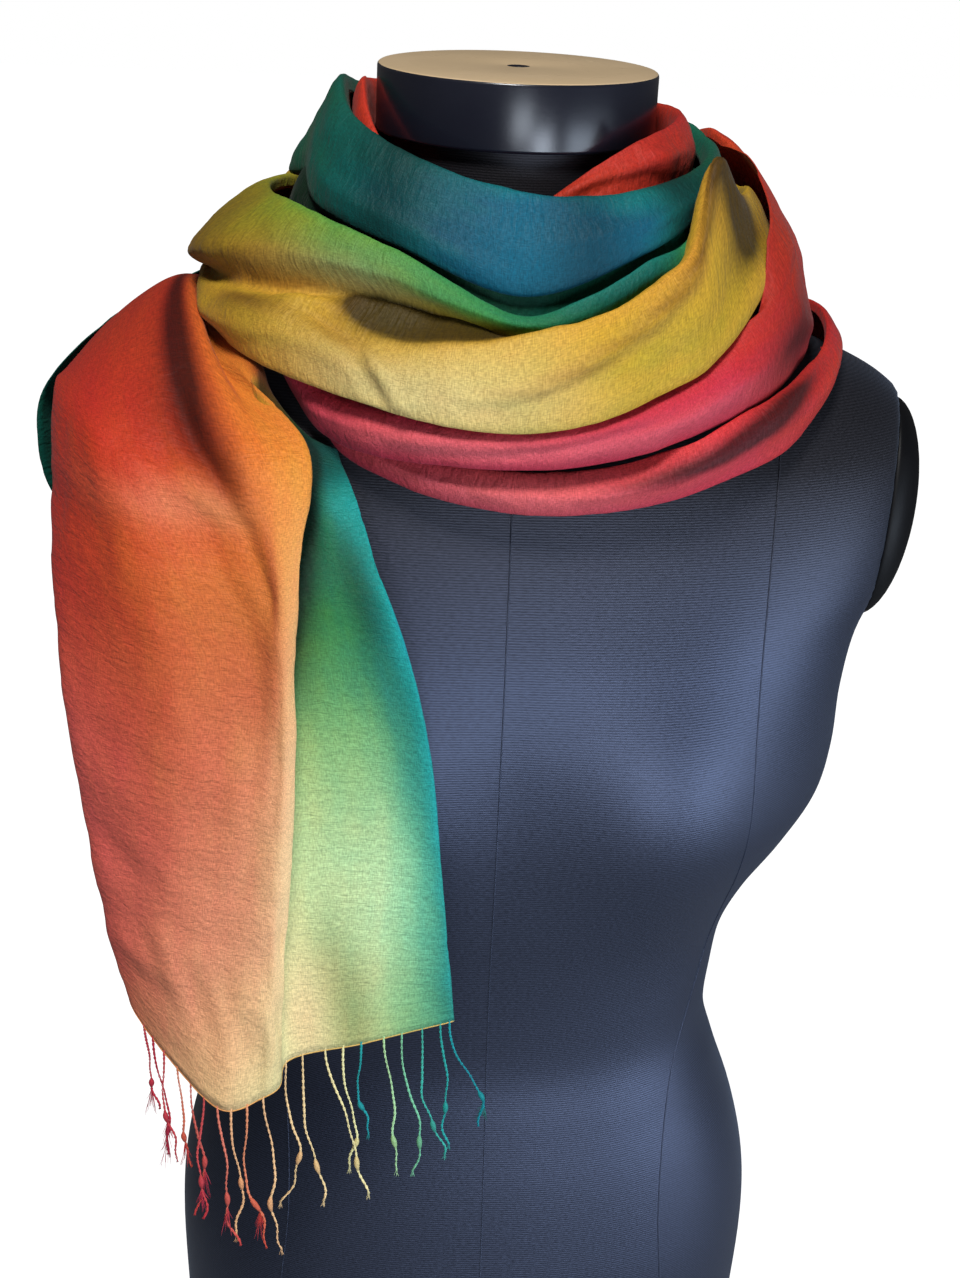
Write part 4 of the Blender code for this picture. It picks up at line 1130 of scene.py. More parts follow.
def add_range(tree, value, low, high, start=0.0, end=1.0):
    """The value, moved from between low and high to between start and end."""
    sockets = {0: value, 1: low, 2: high, 3: start, 4: end}
    return add_node(tree, "ShaderNodeMapRange", sockets).outputs[0]


def add_scaled_place(tree, place, scale):
    """A place stretched along each axis."""
    return add_node(tree, "ShaderNodeMapping", {0: place, 3: scale}).outputs[0]


def add_grey(tree, value):
    """A grey as bright as a value that may pass 1."""
    return add_node(tree, "ShaderNodeCombineColor", {0: value, 1: value, 2: value}).outputs[0]


def add_ramp(tree, source, stops):
    node = add_node(tree, "ShaderNodeValToRGB", {0: source})
    ramp = node.color_ramp
    ramp.interpolation = "B_SPLINE"
    while len(ramp.elements) < len(stops):
        ramp.elements.new(1.0)
    for element, (position, colour) in zip(ramp.elements, stops):
        element.position = position
        element.color = (*colour, 1.0)
    return node.outputs[0]


def new_group(name, inputs, outputs):
    """An empty node group. inputs pairs a name with a default, and outputs a name with a kind."""
    group = bpy.data.node_groups.new(name, "ShaderNodeTree")
    for key, default in inputs:
        kind = "NodeSocketFloat" if isinstance(default, float) else "NodeSocketColor"
        socket = group.interface.new_socket(key, in_out="INPUT", socket_type=kind)
        socket.default_value = default if isinstance(default, float) else (*default, 1.0)
    for key, kind in outputs:
        group.interface.new_socket(key, in_out="OUTPUT", socket_type=kind)
    entry = group.nodes.new("NodeGroupInput")
    leave = group.nodes.new("NodeGroupOutput")
    return group, entry.outputs, leave.inputs


COAT_OUTPUTS = (
    ("Color", "NodeSocketColor"), ("Roughness", "NodeSocketFloat"), ("Height", "NodeSocketFloat"),
)


def dyed_yarn_group():
    """Colour, roughness and height of hand-dyed threads that cross each other. Its paint holds dye,
    painted shade and painted highlight.
    """
    group, given, made = new_group(
        "dyed_yarn",
        (("Dye", 0.5), ("Pale", 0.0), ("Deep", 0.0), ("Threads per metre", 1100.0), ("Slub", 0.5)),
        COAT_OUTPUTS,
    )
    place = add_node(group, "ShaderNodeUVMap", uv_map="UVMap").outputs[0]
    # The dye bleeds unevenly into the cloth, and runs along the threads.
    bleed = add_noise(group, place, BLEED_SCALE, 4.0)
    streak = add_noise(group, add_scaled_place(group, place, STREAK_SCALES), 1.0, 3.0)
    drift = add_maths(group, "MULTIPLY_ADD", bleed, BLEED_SPREAD, -BLEED_SPREAD / 2)
    run = add_maths(group, "MULTIPLY_ADD", streak, STREAK_SPREAD, -STREAK_SPREAD / 2)
    dye = add_maths(group, "ADD", add_maths(group, "ADD", given["Dye"], drift), run)
    full = add_ramp(group, dye, DYE_STOPS)
    washed = add_ramp(group, dye, PALE_STOPS)
    colour = add_mix(group, given["Pale"], full, washed)
    # Darkening by dye and by painted shade in creases, hollows and under the turns.
    darker = add_maths(group, "MULTIPLY_ADD", given["Deep"], -DEEP_AND_SHADE_STRENGTH, 1.0)
    colour = add_mix(group, 1.0, colour, add_grey(group, darker), "MULTIPLY")
    # Warp and weft threads, each a noise drawn out along its own thread.
    across = add_maths(group, "MULTIPLY", given["Threads per metre"], THREAD_DRAW)
    warp_size = add_node(group, "ShaderNodeCombineXYZ", {0: given["Threads per metre"], 1: across})
    weft_size = add_node(group, "ShaderNodeCombineXYZ", {0: across, 1: given["Threads per metre"]})
    heights = []
    for size in (warp_size, weft_size):
        spread = add_node(
            group, "ShaderNodeVectorMath", {0: place, 1: size.outputs[0]}, operation="MULTIPLY"
        )
        heights.append(add_noise(group, spread.outputs[0], 1.0, 1.0))
    weave = add_maths(group, "MULTIPLY", add_maths(group, "ADD", *heights), 0.5)
    contrast = add_range(group, weave, *WEAVE_SPAN)
    darkest = add_maths(group, "SUBTRACT", 1.0, given["Slub"])
    thread_light = add_range(group, contrast, 0.0, 1.0, darkest, THREAD_CREST_LIGHT)
    colour = add_mix(group, 1.0, colour, add_grey(group, thread_light), "MULTIPLY")
    rough = add_maths(group, "MULTIPLY_ADD", contrast, *YARN_ROUGHNESS)
    crinkle_place = add_scaled_place(group, place, CRINKLE_SCALES)
    crinkle = add_noise(group, crinkle_place, 1.0, 3.0, Distortion=0.6)
    threads = add_maths(group, "MULTIPLY", contrast, THREAD_HEIGHT)
    height = add_maths(group, "MULTIPLY_ADD", crinkle, CRINKLE_HEIGHT, threads)
    group.links.new(colour, made["Color"])
    group.links.new(rough, made["Roughness"])
    group.links.new(height, made["Height"])
    return group


def worn_finish_group():
    """Colour, roughness and height of a coat with faint smears and fine scratches."""
    group, given, made = new_group(
        "worn_finish",
        (("Color", (0.5, 0.5, 0.5)), ("Dust", (0.5, 0.5, 0.5)), ("Roughness", 0.4), ("Wear", 0.3)),
        COAT_OUTPUTS,
    )
    place = add_node(group, "ShaderNodeTexCoord").outputs["Object"]
    smear = add_noise(group, place, SMEAR_SCALE, 5.0)
    grain = add_noise(group, place, GRAIN_SCALE, 2.0)
    dusty = add_maths(group, "MULTIPLY", add_range(group, smear, *SMEAR_SPAN), given["Wear"])
    colour = add_mix(group, dusty, given["Color"], given["Dust"])
    rough = add_maths(group, "MULTIPLY_ADD", dusty, SMEAR_ROUGHNESS, given["Roughness"])
    group.links.new(colour, made["Color"])
    group.links.new(rough, made["Roughness"])
    group.links.new(grain, made["Height"])
    return group


def new_material(name):
    """A material's name, its node tree and its shader."""
    material = bpy.data.materials.new(name)
    material.use_nodes = True
    tree = material.node_tree
    return material, tree, tree.nodes["Principled BSDF"]


def link_bump(tree, shader, height, strength, distance):
    bump = add_node(
        tree, "ShaderNodeBump", {"Height": height, "Strength": strength, "Distance": distance}
    )
    tree.links.new(bump.outputs[0], shader.inputs["Normal"])


def yarn_material(name, group, threads, slub, bump):
    """Silk and wool threads in the shawl's dye."""
    material, tree, shader = new_material(name)
    # The painted attributes carry painted shade and painted highlight as well as dye.
    painted = [
        add_node(tree, "ShaderNodeAttribute", attribute_name=key).outputs["Fac"]
        for key in ("dye", "pale", "deep")
    ]
    yarn = add_node(tree, "ShaderNodeGroup", node_tree=group)
    for socket, source in zip(("Dye", "Pale", "Deep"), painted):
        tree.links.new(source, yarn.inputs[socket])
    yarn.inputs["Threads per metre"].default_value = threads
    yarn.inputs["Slub"].default_value = slub
    tree.links.new(yarn.outputs["Color"], shader.inputs["Base Color"])
    tree.links.new(yarn.outputs["Roughness"], shader.inputs["Roughness"])
    shader.inputs["Sheen Weight"].default_value = 0.03
    shader.inputs["Sheen Roughness"].default_value = 0.45
    shader.inputs["Specular IOR Level"].default_value = 0.16
    link_bump(tree, shader, yarn.outputs["Height"], 0.5, bump)
    return material


def coat_material(name, group, colour, dust, roughness, wear, metallic=0.0, shine=0.5):
    """Lacquer or moulded plastic with a little wear."""
    material, tree, shader = new_material(name)
    values = {"Color": (*colour, 1.0), "Dust": (*dust, 1.0), "Roughness": roughness, "Wear": wear}
    finish = add_node(tree, "ShaderNodeGroup", node_tree=group)
    for socket, value in values.items():
        finish.inputs[socket].default_value = value
    tree.links.new(finish.outputs["Color"], shader.inputs["Base Color"])
    tree.links.new(finish.outputs["Roughness"], shader.inputs["Roughness"])
    shader.inputs["Metallic"].default_value = metallic
    shader.inputs["Specular IOR Level"].default_value = shine
    link_bump(tree, shader, finish.outputs["Height"], 0.15, 0.0002)
    return material


def jersey_material(colour, collar_shade_colour):
    """Fine-ribbed stretch jersey. Its ribs run round the body, along U."""
    material, tree, shader = new_material("ribbed_jersey")
    place = add_node(tree, "ShaderNodeUVMap", uv_map="UVMap").outputs[0]
    waves = {
        "Vector": place, "Scale": RIBS_PER_METRE / WAVES_PER_UNIT, "Distortion": 0.8, "Detail": 1.0,
    }
    ribs = add_node(tree, "ShaderNodeTexWave", waves, bands_direction="Y").outputs["Fac"]
    stitches = add_noise(tree, add_scaled_place(tree, place, STITCH_SCALES), 1.0, 1.0)
    rest = add_maths(tree, "MULTIPLY", stitches, 1.0 - RIB_SHARE)
    knit = add_maths(tree, "MULTIPLY_ADD", ribs, RIB_SHARE, rest)
    light = add_range(tree, knit, *KNIT_SPAN, *KNIT_LIGHT)
    spot = add_node(tree, "ShaderNodeTexCoord").outputs["Object"]
    height = add_node(tree, "ShaderNodeSeparateXYZ", {0: spot}).outputs[2]
    # The jersey darkens above the chest: painted shade under the collar, with a painted warm
    # reflection.
    collar_shade_share = add_range(tree, height, *COLLAR_SHADE_FADE)
    base = add_mix(tree, collar_shade_share, (*colour, 1.0), (*collar_shade_colour, 1.0))
    shaded = add_mix(tree, 1.0, base, add_grey(tree, light), "MULTIPLY")
    tree.links.new(shaded, shader.inputs["Base Color"])
    rough = add_maths(tree, "MULTIPLY_ADD", stitches, *JERSEY_ROUGHNESS)
    tree.links.new(rough, shader.inputs["Roughness"])
    shader.inputs["Metallic"].default_value = 0.75
    shader.inputs["Sheen Weight"].default_value = 0.08
    shader.inputs["Sheen Roughness"].default_value = 0.4
    shader.inputs["Sheen Tint"].default_value = (0.55, 0.7, 1.0, 1.0)
    link_bump(tree, shader, knit, 0.35, 0.0003)
    return material


def add_mesh(name, points, faces, material):
    """A smooth-shaded mesh from points in millimetres."""
    mesh = bpy.data.meshes.new(name)
    mesh.from_pydata([tuple(float(c) * MM for c in point) for point in points], [], faces)
    mesh.materials.append(material)
    mesh.shade_smooth()
    thing = bpy.data.objects.new(name, mesh)
    bpy.context.scene.collection.objects.link(thing)
    return thing


def armhole_x(y, z):
    """The half width at which the flat armhole cuts the form. Below its foot nothing is cut."""
    if z < ARMHOLE_FOOT:
        return ARMHOLE_X
    return ARMHOLE_X + ARMHOLE_LEAN * (z - ARMHOLE_Z) + ARMHOLE_TURN * y


def bust(x, z):
    spread = ((abs(x) - BUST_X) / BUST_SPREAD_X) ** 2 + ((z - BUST_Z) / BUST_SPREAD_Z) ** 2
    return BUST_OUT * math.exp(-0.5 * spread)


def oval(half_width, front, back, roundness, angle):
    """A point of a superellipse whose front and back differ in depth."""
    c, s = math.cos(angle), math.sin(angle)
    depth = back if s > 0 else front
    x = half_width * math.copysign(abs(c) ** (2 / roundness), c)
    y = depth * math.copysign(abs(s) ** (2 / roundness), s)
    return x, y


def form_point(row, angle):
    z, half_width, front, back, roundness = row
    x, y = oval(half_width, front, back, roundness, angle)
    y -= bust(x, z) * min(1.0, BUST_FADE * max(0.0, -y / front))
    limit = armhole_x(y, z)
    return max(-limit, min(limit, x)), y, z


def form_rings():
    rows = spline(np.array(FORM_ROWS, float), FORM_ROW_STEPS)
    angles = [2 * math.pi * (k + 0.5) / FORM_SIDES for k in range(FORM_SIDES)]
    return np.array([[form_point(row, angle) for angle in angles] for row in rows])


def front_point(rings, x, z):
    """The point of the form's front at x and z."""
    front = rings[:, FORM_SIDES // 2 :]
    lines = np.array([np.interp(x, ring[:, 0], ring[:, 1]) for ring in front])
    return x, float(np.interp(z, rings[:, 0, 2], lines)), z


def tube(points, radius, sides):
    """Rings round a line in millimetres, and their faces."""
    points = np.asarray(points, float)
    heading = np.gradient(points, axis=0)
    heading /= np.linalg.norm(heading, axis=1, keepdims=True)
    radius = np.broadcast_to(radius, len(points))
    first = np.cross(heading, (0.0, 1.0, 0.0))
    first /= np.maximum(np.linalg.norm(first, axis=1, keepdims=True), 1e-9)
    second = np.cross(heading, first)
    rings = []
    for k, point in enumerate(points):
        for side in range(sides):
            angle = 2 * math.pi * side / sides
            spoke = first[k] * math.cos(angle) + second[k] * math.sin(angle)
            rings.append(point + radius[k] * spoke)
    faces = []
    for k in range(len(points) - 1):
        for side in range(sides):
            after = (side + 1) % sides
            low, high = k * sides, (k + 1) * sides
            faces.append((low + side, high + side, high + after, low + after))
    last = (len(points) - 1) * sides
    faces.append(tuple(range(sides)))
    faces.append(tuple(last + side for side in reversed(range(sides))))
    return rings, faces


def settle(thing, slot, *nodes):
    """The piece rides on the part and stands for its nodes. The slot is not used."""
    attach(thing, "root")
    if nodes:
        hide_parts(*nodes)


class FormSettings(bpy.types.PropertyGroup):
    jersey: bpy.props.FloatVectorProperty(
        name="Jersey", description="Colour of the ribbed jersey", subtype="COLOR", size=3,
        min=0.0, max=1.0, default=shade(60, 66, 84),
    )
    # The shoulder jersey colour is painted shade under the collar, with a painted warm reflection.
    shoulder: bpy.props.FloatVectorProperty(
        name="Shoulder jersey", description="Colour of the jersey at the shoulders",
        subtype="COLOR", size=3, min=0.0, max=1.0, default=shade(44, 43, 48),
    )
    lacquer: bpy.props.FloatVectorProperty(
        name="Lacquer", description="Colour of the neck cap's side", subtype="COLOR", size=3,
        min=0.0, max=1.0, default=shade(20, 21, 30),
    )
    # The cap top's beige colour is a painted reflection of warm room light.
    cap_top: bpy.props.FloatVectorProperty(
        name="Cap top", description="Colour of the neck cap's flat top", subtype="COLOR", size=3,
        min=0.0, max=1.0, default=shade(204, 178, 140),
    )
    seam_radius: bpy.props.FloatProperty(
        name="Seam radius", description="Radius of the raised seams", subtype="DISTANCE",
        unit="LENGTH", default=0.0004,
    )


class ShawlSettings(bpy.types.PropertyGroup):
    wall: bpy.props.FloatProperty(
        name="Cloth", description="Thickness of the cloth", subtype="DISTANCE", unit="LENGTH",
        default=0.0005,
    )
    crumple: bpy.props.FloatProperty(
        name="Crumple", description="How far the slack cloth moves in and out", subtype="DISTANCE",
        unit="LENGTH", default=0.0011,
    )
    threads: bpy.props.FloatProperty(
        name="Threads", description="Threads in a metre of cloth", default=2000.0, min=100.0,
    )
    slub: bpy.props.FloatProperty(
        name="Slub", description="How much darker the gaps between threads are", default=0.3,
        min=0.0, max=1.0,
    )


class FringeSettings(bpy.types.PropertyGroup):
    strand_radius: bpy.props.FloatProperty(
        name="Strand", description="Radius of each of a cord's two strands", subtype="DISTANCE",
        unit="LENGTH", default=0.00034,
    )
    knot_radius: bpy.props.FloatProperty(
        name="Knot", description="Radius of the knot near a cord's end", subtype="DISTANCE",
        unit="LENGTH", default=0.0012,
    )


class StudioSettings(bpy.types.PropertyGroup):
    floor: bpy.props.FloatVectorProperty(
        name="Floor", description="Colour of the floor", subtype="COLOR", size=3, min=0.0, max=1.0,
        default=(0.2, 0.2, 0.2),
    )
    key_power: bpy.props.FloatProperty(
        name="Key light", description="Power of the large light", unit="POWER", default=28.0,
    )
    fill_power: bpy.props.FloatProperty(
        name="Fill light", description="Power of the side light", unit="POWER", default=15.5,
    )
    low_power: bpy.props.FloatProperty(
        name="Low light", description="Power of the light below the camera", unit="POWER",
        default=3.2,
    )
    bust_power: bpy.props.FloatProperty(
        name="Bust light", description="Power of the small light at bust height", unit="POWER",
        default=4.5,
    )
    world_light: bpy.props.FloatProperty(
        name="Room light", description="Strength of the light from all round", default=0.08,
        min=0.0,
    )
    floor_glow: bpy.props.FloatProperty(
        name="Floor glow", description="How much whiter the floor shows to the camera",
        default=1.05, min=0.0,
    )


class SHAWL_OT_dress_form(bpy.types.Operator):
    """Build the jersey-covered body with its seams"""

    bl_idname = "shawl.dress_form"
    bl_label = "Dress form"

    def execute(self, context):
        settings = context.scene.shawl_form
        material = jersey_material(settings.jersey, settings.shoulder)
        rings = form_rings()
        count, sides = rings.shape[:2]
        faces = []
        for i in range(count - 1):
            for k in range(sides):
                after = (k + 1) % sides
                low, high = i * sides, (i + 1) * sides
                faces.append((low + k, low + after, high + after, high + k))
        faces.append(tuple(reversed(range(sides))))
        faces.append(tuple(range((count - 1) * sides, count * sides)))
        body = add_mesh("form_body", rings.reshape(-1, 3), faces, material)
        body.data.set_sharp_from_angle(angle=FORM_SHARP_ANGLE)
        girth = 2 * math.pi * MEAN_FORM_RADIUS * MM
        layer = body.data.uv_layers.new(name="UVMap")
        for polygon in body.data.polygons:
            corners = polygon.loop_indices
            ends = [body.data.loops[corner].vertex_index for corner in corners]
            shares = [(end % sides) / sides for end in ends]
            joins = max(shares) - min(shares) > 0.5
            for corner, end, share in zip(corners, ends, shares):
                turned = share + 1 if joins and share < 0.5 else share
                layer.data[corner].uv = (turned * girth, body.data.vertices[end].co.z)
        settle(body, "form_jersey", "dress_form")

        seams = [CENTRE_SEAM, PRINCESS_SEAM, tuple((-x, z) for x, z in PRINCESS_SEAM)]
        points, seam_faces = [], []
        radius = settings.seam_radius / MM
        for line in seams:
            path = [front_point(rings, x, z) for x, z in spline(line, SEAM_STEPS)]
            ring_points, ring_faces = tube(path, radius, SEAM_SIDES)
            seam_faces += [tuple(len(points) + index for index in face) for face in ring_faces]
            points += ring_points
        seam = add_mesh("form_seams", points, seam_faces, material)
        seam.data.uv_layers.new(name="UVMap")
        settle(seam, "form_jersey")
        return {"FINISHED"}


class SHAWL_OT_neck_cap(bpy.types.Operator):
    """Build the lacquered neck cap with its small centre hole"""

    bl_idname = "shawl.neck_cap"
    bl_label = "Neck cap"

    def execute(self, context):
        settings = context.scene.shawl_form
        group = bpy.data.node_groups["worn_finish"]
        side = coat_material(
            "cap_side", group, settings.lacquer, LACQUER_DUST, roughness=0.24, wear=0.1
        )
        # The top's beige is a painted reflection of warm room light.
        top = coat_material(
            "cap_top", group, settings.cap_top, CAP_TOP_DUST_AND_REFLECTION, roughness=0.34, wear=0.6, metallic=0.2
        )
        deselect_all()
        height = (CAP_TOP - CAP_BOTTOM) * MM
        bpy.ops.mesh.primitive_cylinder_add(
            vertices=CAP_SIDES, radius=CAP_RADIUS * MM, depth=height,
            location=(0, 0, CAP_BOTTOM * MM + height / 2),
        )
        cap = context.object
        cap.name = "cap"
        bpy.ops.object.transform_apply(location=True, rotation=True, scale=True)
        cap.data.materials.append(side)
        cap.data.materials.append(top)
        bpy.ops.object.mode_set(mode="EDIT")
        shape = bmesh.from_edit_mesh(cap.data)
        for face in shape.faces:
            face.select_set(face.normal.z > 0.9)
            face.material_index = 1 if face.normal.z > 0.9 else 0
        bmesh.update_edit_mesh(cap.data)
        bpy.ops.mesh.inset(thickness=(CAP_RADIUS - CAP_HOLE_RADIUS) * MM)
        bpy.ops.mesh.inset(thickness=CAP_INSERT_WIDTH * MM, depth=-CAP_INSERT_DEPTH * MM)
        bpy.ops.mesh.extrude_region_move(
            TRANSFORM_OT_translate={"value": (0, 0, -CAP_HOLE_DEPTH * MM)}
        )
        bpy.ops.object.mode_set(mode="OBJECT")
        for polygon in cap.data.polygons:
            middle = polygon.center
            in_hole = math.hypot(middle.x, middle.y) < CAP_HOLE_RADIUS * MM
            if in_hole and middle.z < CAP_TOP * MM:
                polygon.material_index = 0
        bevel = cap.modifiers.new("edges", "BEVEL")
        bevel.width = CAP_EDGE * MM
        bevel.segments = 4
        bevel.limit_method = "ANGLE"
        bevel.angle_limit = math.radians(60)
        bpy.ops.object.modifier_apply(modifier="edges")
        bpy.ops.object.shade_smooth_by_angle(angle=math.radians(35))
        settle(cap, "cap_enamel", "neck_cap")
        return {"FINISHED"}


class SHAWL_OT_arm_plates(bpy.types.Operator):
    """Build the domed plates on the armholes"""

    bl_idname = "shawl.arm_plates"
    bl_label = "Arm plates"

    def execute(self, context):
        group = bpy.data.node_groups["worn_finish"]
        material = coat_material(
            "plate_side", group, PLATE_BLACK, PLATE_DUST, roughness=0.5, wear=0.3, shine=0.15
        )
        for name, side in (("arm_plate_left", -1), ("arm_plate_right", 1)):
            points, faces = [], []
            for ring in range(PLATE_RINGS):
                ring_angle = math.radians(PLATE_TOP_ANGLE) * ring / (PLATE_RINGS - 1)
                for k in range(PLATE_SIDES):
                    angle = 2 * math.pi * k / PLATE_SIDES
                    y = PLATE_MIDDLE_Y + PLATE_HALF_DEPTH * math.cos(ring_angle) * math.cos(angle)
                    z = ARMHOLE_Z + PLATE_HALF_HEIGHT * math.cos(ring_angle) * math.sin(angle)
                    x = armhole_x(y, z) + SEAM_GAP + PLATE_DOME * math.sin(ring_angle)
                    points.append((side * x, y, z))
            for ring in range(PLATE_RINGS - 1):
                for k in range(PLATE_SIDES):
                    after = (k + 1) % PLATE_SIDES
                    low, high = ring * PLATE_SIDES, (ring + 1) * PLATE_SIDES
                    faces.append((low + k, low + after, high + after, high + k))
            faces.append(tuple(reversed(range(PLATE_SIDES))))
            faces.append(tuple(range((PLATE_RINGS - 1) * PLATE_SIDES, PLATE_RINGS * PLATE_SIDES)))
            if side < 0:
                faces = [tuple(reversed(face)) for face in faces]
            plate = add_mesh(name + "_shell", points, faces, material)
            settle(plate, "plate_enamel", name)
        return {"FINISHED"}


def add_turn_fold(grid, azimuths, places, fold):
    """Raises or presses a soft fold along a line on a turn."""
    per_degree = math.radians(FOLD_RADIUS)
    start = np.array((fold.azimuth * per_degree, fold.place * FOLD_PITCH))
    end = np.array((fold.to_azimuth * per_degree, fold.to_place * FOLD_PITCH))
    turned = fold.azimuth + np.mod(azimuths - fold.azimuth + 90, 360) - 90
    spots = np.stack(np.meshgrid(turned * per_degree, places * FOLD_PITCH, indexing="ij"), -1)
    heading = end - start
    share = np.clip(((spots - start) @ heading) / (heading @ heading), 0, 1)
    gap = np.linalg.norm(spots - start - share[..., None] * heading, axis=-1)
    push = fold.out * np.exp(-((gap / fold.width) ** 2)) * np.sin(np.pi * share) ** 0.6
    return grid + grid_normals(grid) * push[..., None]


def show_layer(places, folds):
    """1 where a turn's cloth shows, and 0 in its hidden tucks."""
    return np.interp(places, (0.6, 1.2, folds - 1.3, folds - 0.8), (0, 1, 1, 0))


def add_turn(plan, settings, material):
    """One turn of the shawl round the neck, in the place of its solid."""
    grid, azimuths, places = turn_sheet(plan)
    shown = show_layer(places, len(plan.gap_steps))
    smooth = grid.copy()
    for fold in plan.folds:
        grid = add_turn_fold(grid, azimuths, places, fold)
    grid = add_crumple(grid, CRUMPLE_SIZE, settings.crumple / MM, len(plan.name))
    grid = smooth + (grid - smooth) * shown[None, :, None]
    grid[-1] = grid[0]
    paint = turn_paint(plan, azimuths, places)
    sheet, flat = cloth_sheet(plan.name, grid, material, paint, settings.wall)
    close_seam(sheet)
    settle(sheet, "shawl_cloth", *([plan.replaces] if plan.replaces else []))


class YarnBundle:
    """Gathers threads into one mesh, with a UV map in metres and the dye's attributes."""

    def __init__(self):
        self.points, self.faces, self.corners = [], [], []
        self.paint = {"dye": [], "pale": [], "deep": []}

    def add(self, line, radius, sides, dye, pale, deep):
        rings, faces = tube(line, radius, sides)
        first = len(self.points)
        length = lengths_along(line) * MM
        girth = 2 * math.pi * float(np.max(radius)) * MM
        for face in faces:
            self.faces.append(tuple(first + index for index in face))
            around = [index % sides for index in face]
            joins = len(face) == 4 and max(around) - min(around) > 1
            for index, side in zip(face, around):
                turned = side + sides if joins and side == 0 else side
                self.corners.append((turned / sides * girth, length[index // sides]))
        self.points += rings
        for key, value in (("dye", dye), ("pale", pale), ("deep", deep)):
            self.paint[key] += list(np.repeat(np.broadcast_to(value, len(line)), sides))

    def build(self, name, material):
        thing = add_mesh(name, self.points, self.faces, material)
        layer = thing.data.uv_layers.new(name="UVMap")
        layer.data.foreach_set("uv", np.array(self.corners, np.float32).ravel())
        for key, values in self.paint.items():
            attribute = thing.data.attributes.new(key, "FLOAT", "POINT")
            attribute.data.foreach_set("value", np.array(values, np.float32))
        return thing


def wind(line, turns, radius, start):
    """A line that winds round another."""
    heading = np.gradient(line, axis=0)
    heading /= np.linalg.norm(heading, axis=1, keepdims=True)
    first = np.cross(heading, (0.0, 1.0, 0.0))
    first /= np.linalg.norm(first, axis=1, keepdims=True)
    second = np.cross(heading, first)
    angle = (start + turns * np.linspace(0, 1, len(line)))[:, None]
    return line + radius * (first * np.cos(angle) + second * np.sin(angle))


def cord_line(root, cord, number):
    """A cord's middle line, which hangs from the root and curls a little."""
    share = np.linspace(0, 1, CORD_RINGS)
    ease = share * share * (3 - 2 * share)
    wave = np.sin(math.pi * CURL_WAVES * share + number) - math.sin(number) * (1 - share)
    kink = np.sin(math.pi * KINK_WAVES * share + 2.0 * number) * share * KINK_SHARE
    sway = CORD_SWAY * np.sin(3.0 * share + 1.7 * number)
    x = root[0] + cord.side * ease + cord.curl * (wave + kink) * share
    y = root[1] + cord.front * CORD_STEP * share + sway * share
    z = root[2] + ROOT_SINK - (cord.drop + ROOT_SINK) * share
    return np.stack([x, y, z], 1)


def add_cord(bundle, root, cord, number, strand, knot_radius, deep):
    """A two-ply cord with a knot near its end and, where it has one, a loose tuft."""
    line = cord_line(np.asarray(root, float), cord, number)
    share = np.linspace(0, 1, CORD_RINGS)
    # The tufts at the red edge turn a deeper red.
    fade = RED_TUFT_FADE if cord.tuft and cord.dye < 0.5 else 0.0
    end_dye = cord.dye * (1 - fade * share)
    pale = np.clip(cord.pale * (1 - 0.8 * share**3), 0, 1) if cord.tuft else cord.pale + 0 * share
    spread = strand * (0.9 + 0.25 * np.sin(9.0 * share + number))
    for start in (0.0, math.pi):
        wound = wind(line, 2 * math.pi * CORD_TURNS, strand, start)
        bundle.add(wound, spread, STRAND_SIDES, end_dye, pale, deep)
    at = int(cord.knot * (CORD_RINGS - 1))
    knot = line[at - 2 : at + 3]
    swell = knot_radius * np.array(KNOT_SWELL)
    bundle.add(knot, swell, KNOT_SIDES, end_dye[at], pale[at] * KNOT_PALE, KNOT_DEEP)
    widest = TUFT_FLARE if cord.tuft else TAIL_FLARE
    start = line[at + 2 if cord.tuft else -1]
    steps = np.linspace(0, 1, THREAD_RINGS)
    for thread in range(TUFT_THREADS if cord.tuft else TAIL_THREADS):
        angle = 2.4 * thread + number
        length = cord.tuft * (0.75 + 0.25 * math.sin(5.0 * thread)) if cord.tuft else TAIL_LENGTH
        flare = widest * (0.3 + 0.7 * abs(math.sin(1.9 * thread)))
        bend = 0.5 * np.sin(2.6 * steps + thread)
        x = start[0] + flare * math.cos(angle) * steps**1.4 + bend * steps
        y = start[1] + 0.6 * flare * math.sin(angle) * steps**1.4
        z = start[2] + 0.6 - length * steps
        taper = strand * THREAD_SHARE * (1.0 - 0.55 * steps)
        dye = np.clip(end_dye[-1] - TUFT_SHIFT * steps, 0, 1) if cord.tuft else end_dye[-1]
        bundle.add(np.stack([x, y, z], 1), taper, THREAD_SIDES, dye, pale[-1], deep)


def shawl_material(settings):
    """The shawl's cloth, made once and shared by all its stretches."""
    if "shawl_twill" in bpy.data.materials:
        return bpy.data.materials["shawl_twill"]
    group = bpy.data.node_groups["dyed_yarn"]
    return yarn_material("shawl_twill", group, settings.threads, settings.slub, CLOTH_BUMP)


def fringe_material(settings):
    """The fringe's yarn, made once and shared by both fringes and hems."""
    if "fringe_threads" in bpy.data.materials:
        return bpy.data.materials["fringe_threads"]
    group = bpy.data.node_groups["dyed_yarn"]
    return yarn_material("fringe_threads", group, FRINGE_FIBRES, settings.slub, YARN_BUMP)


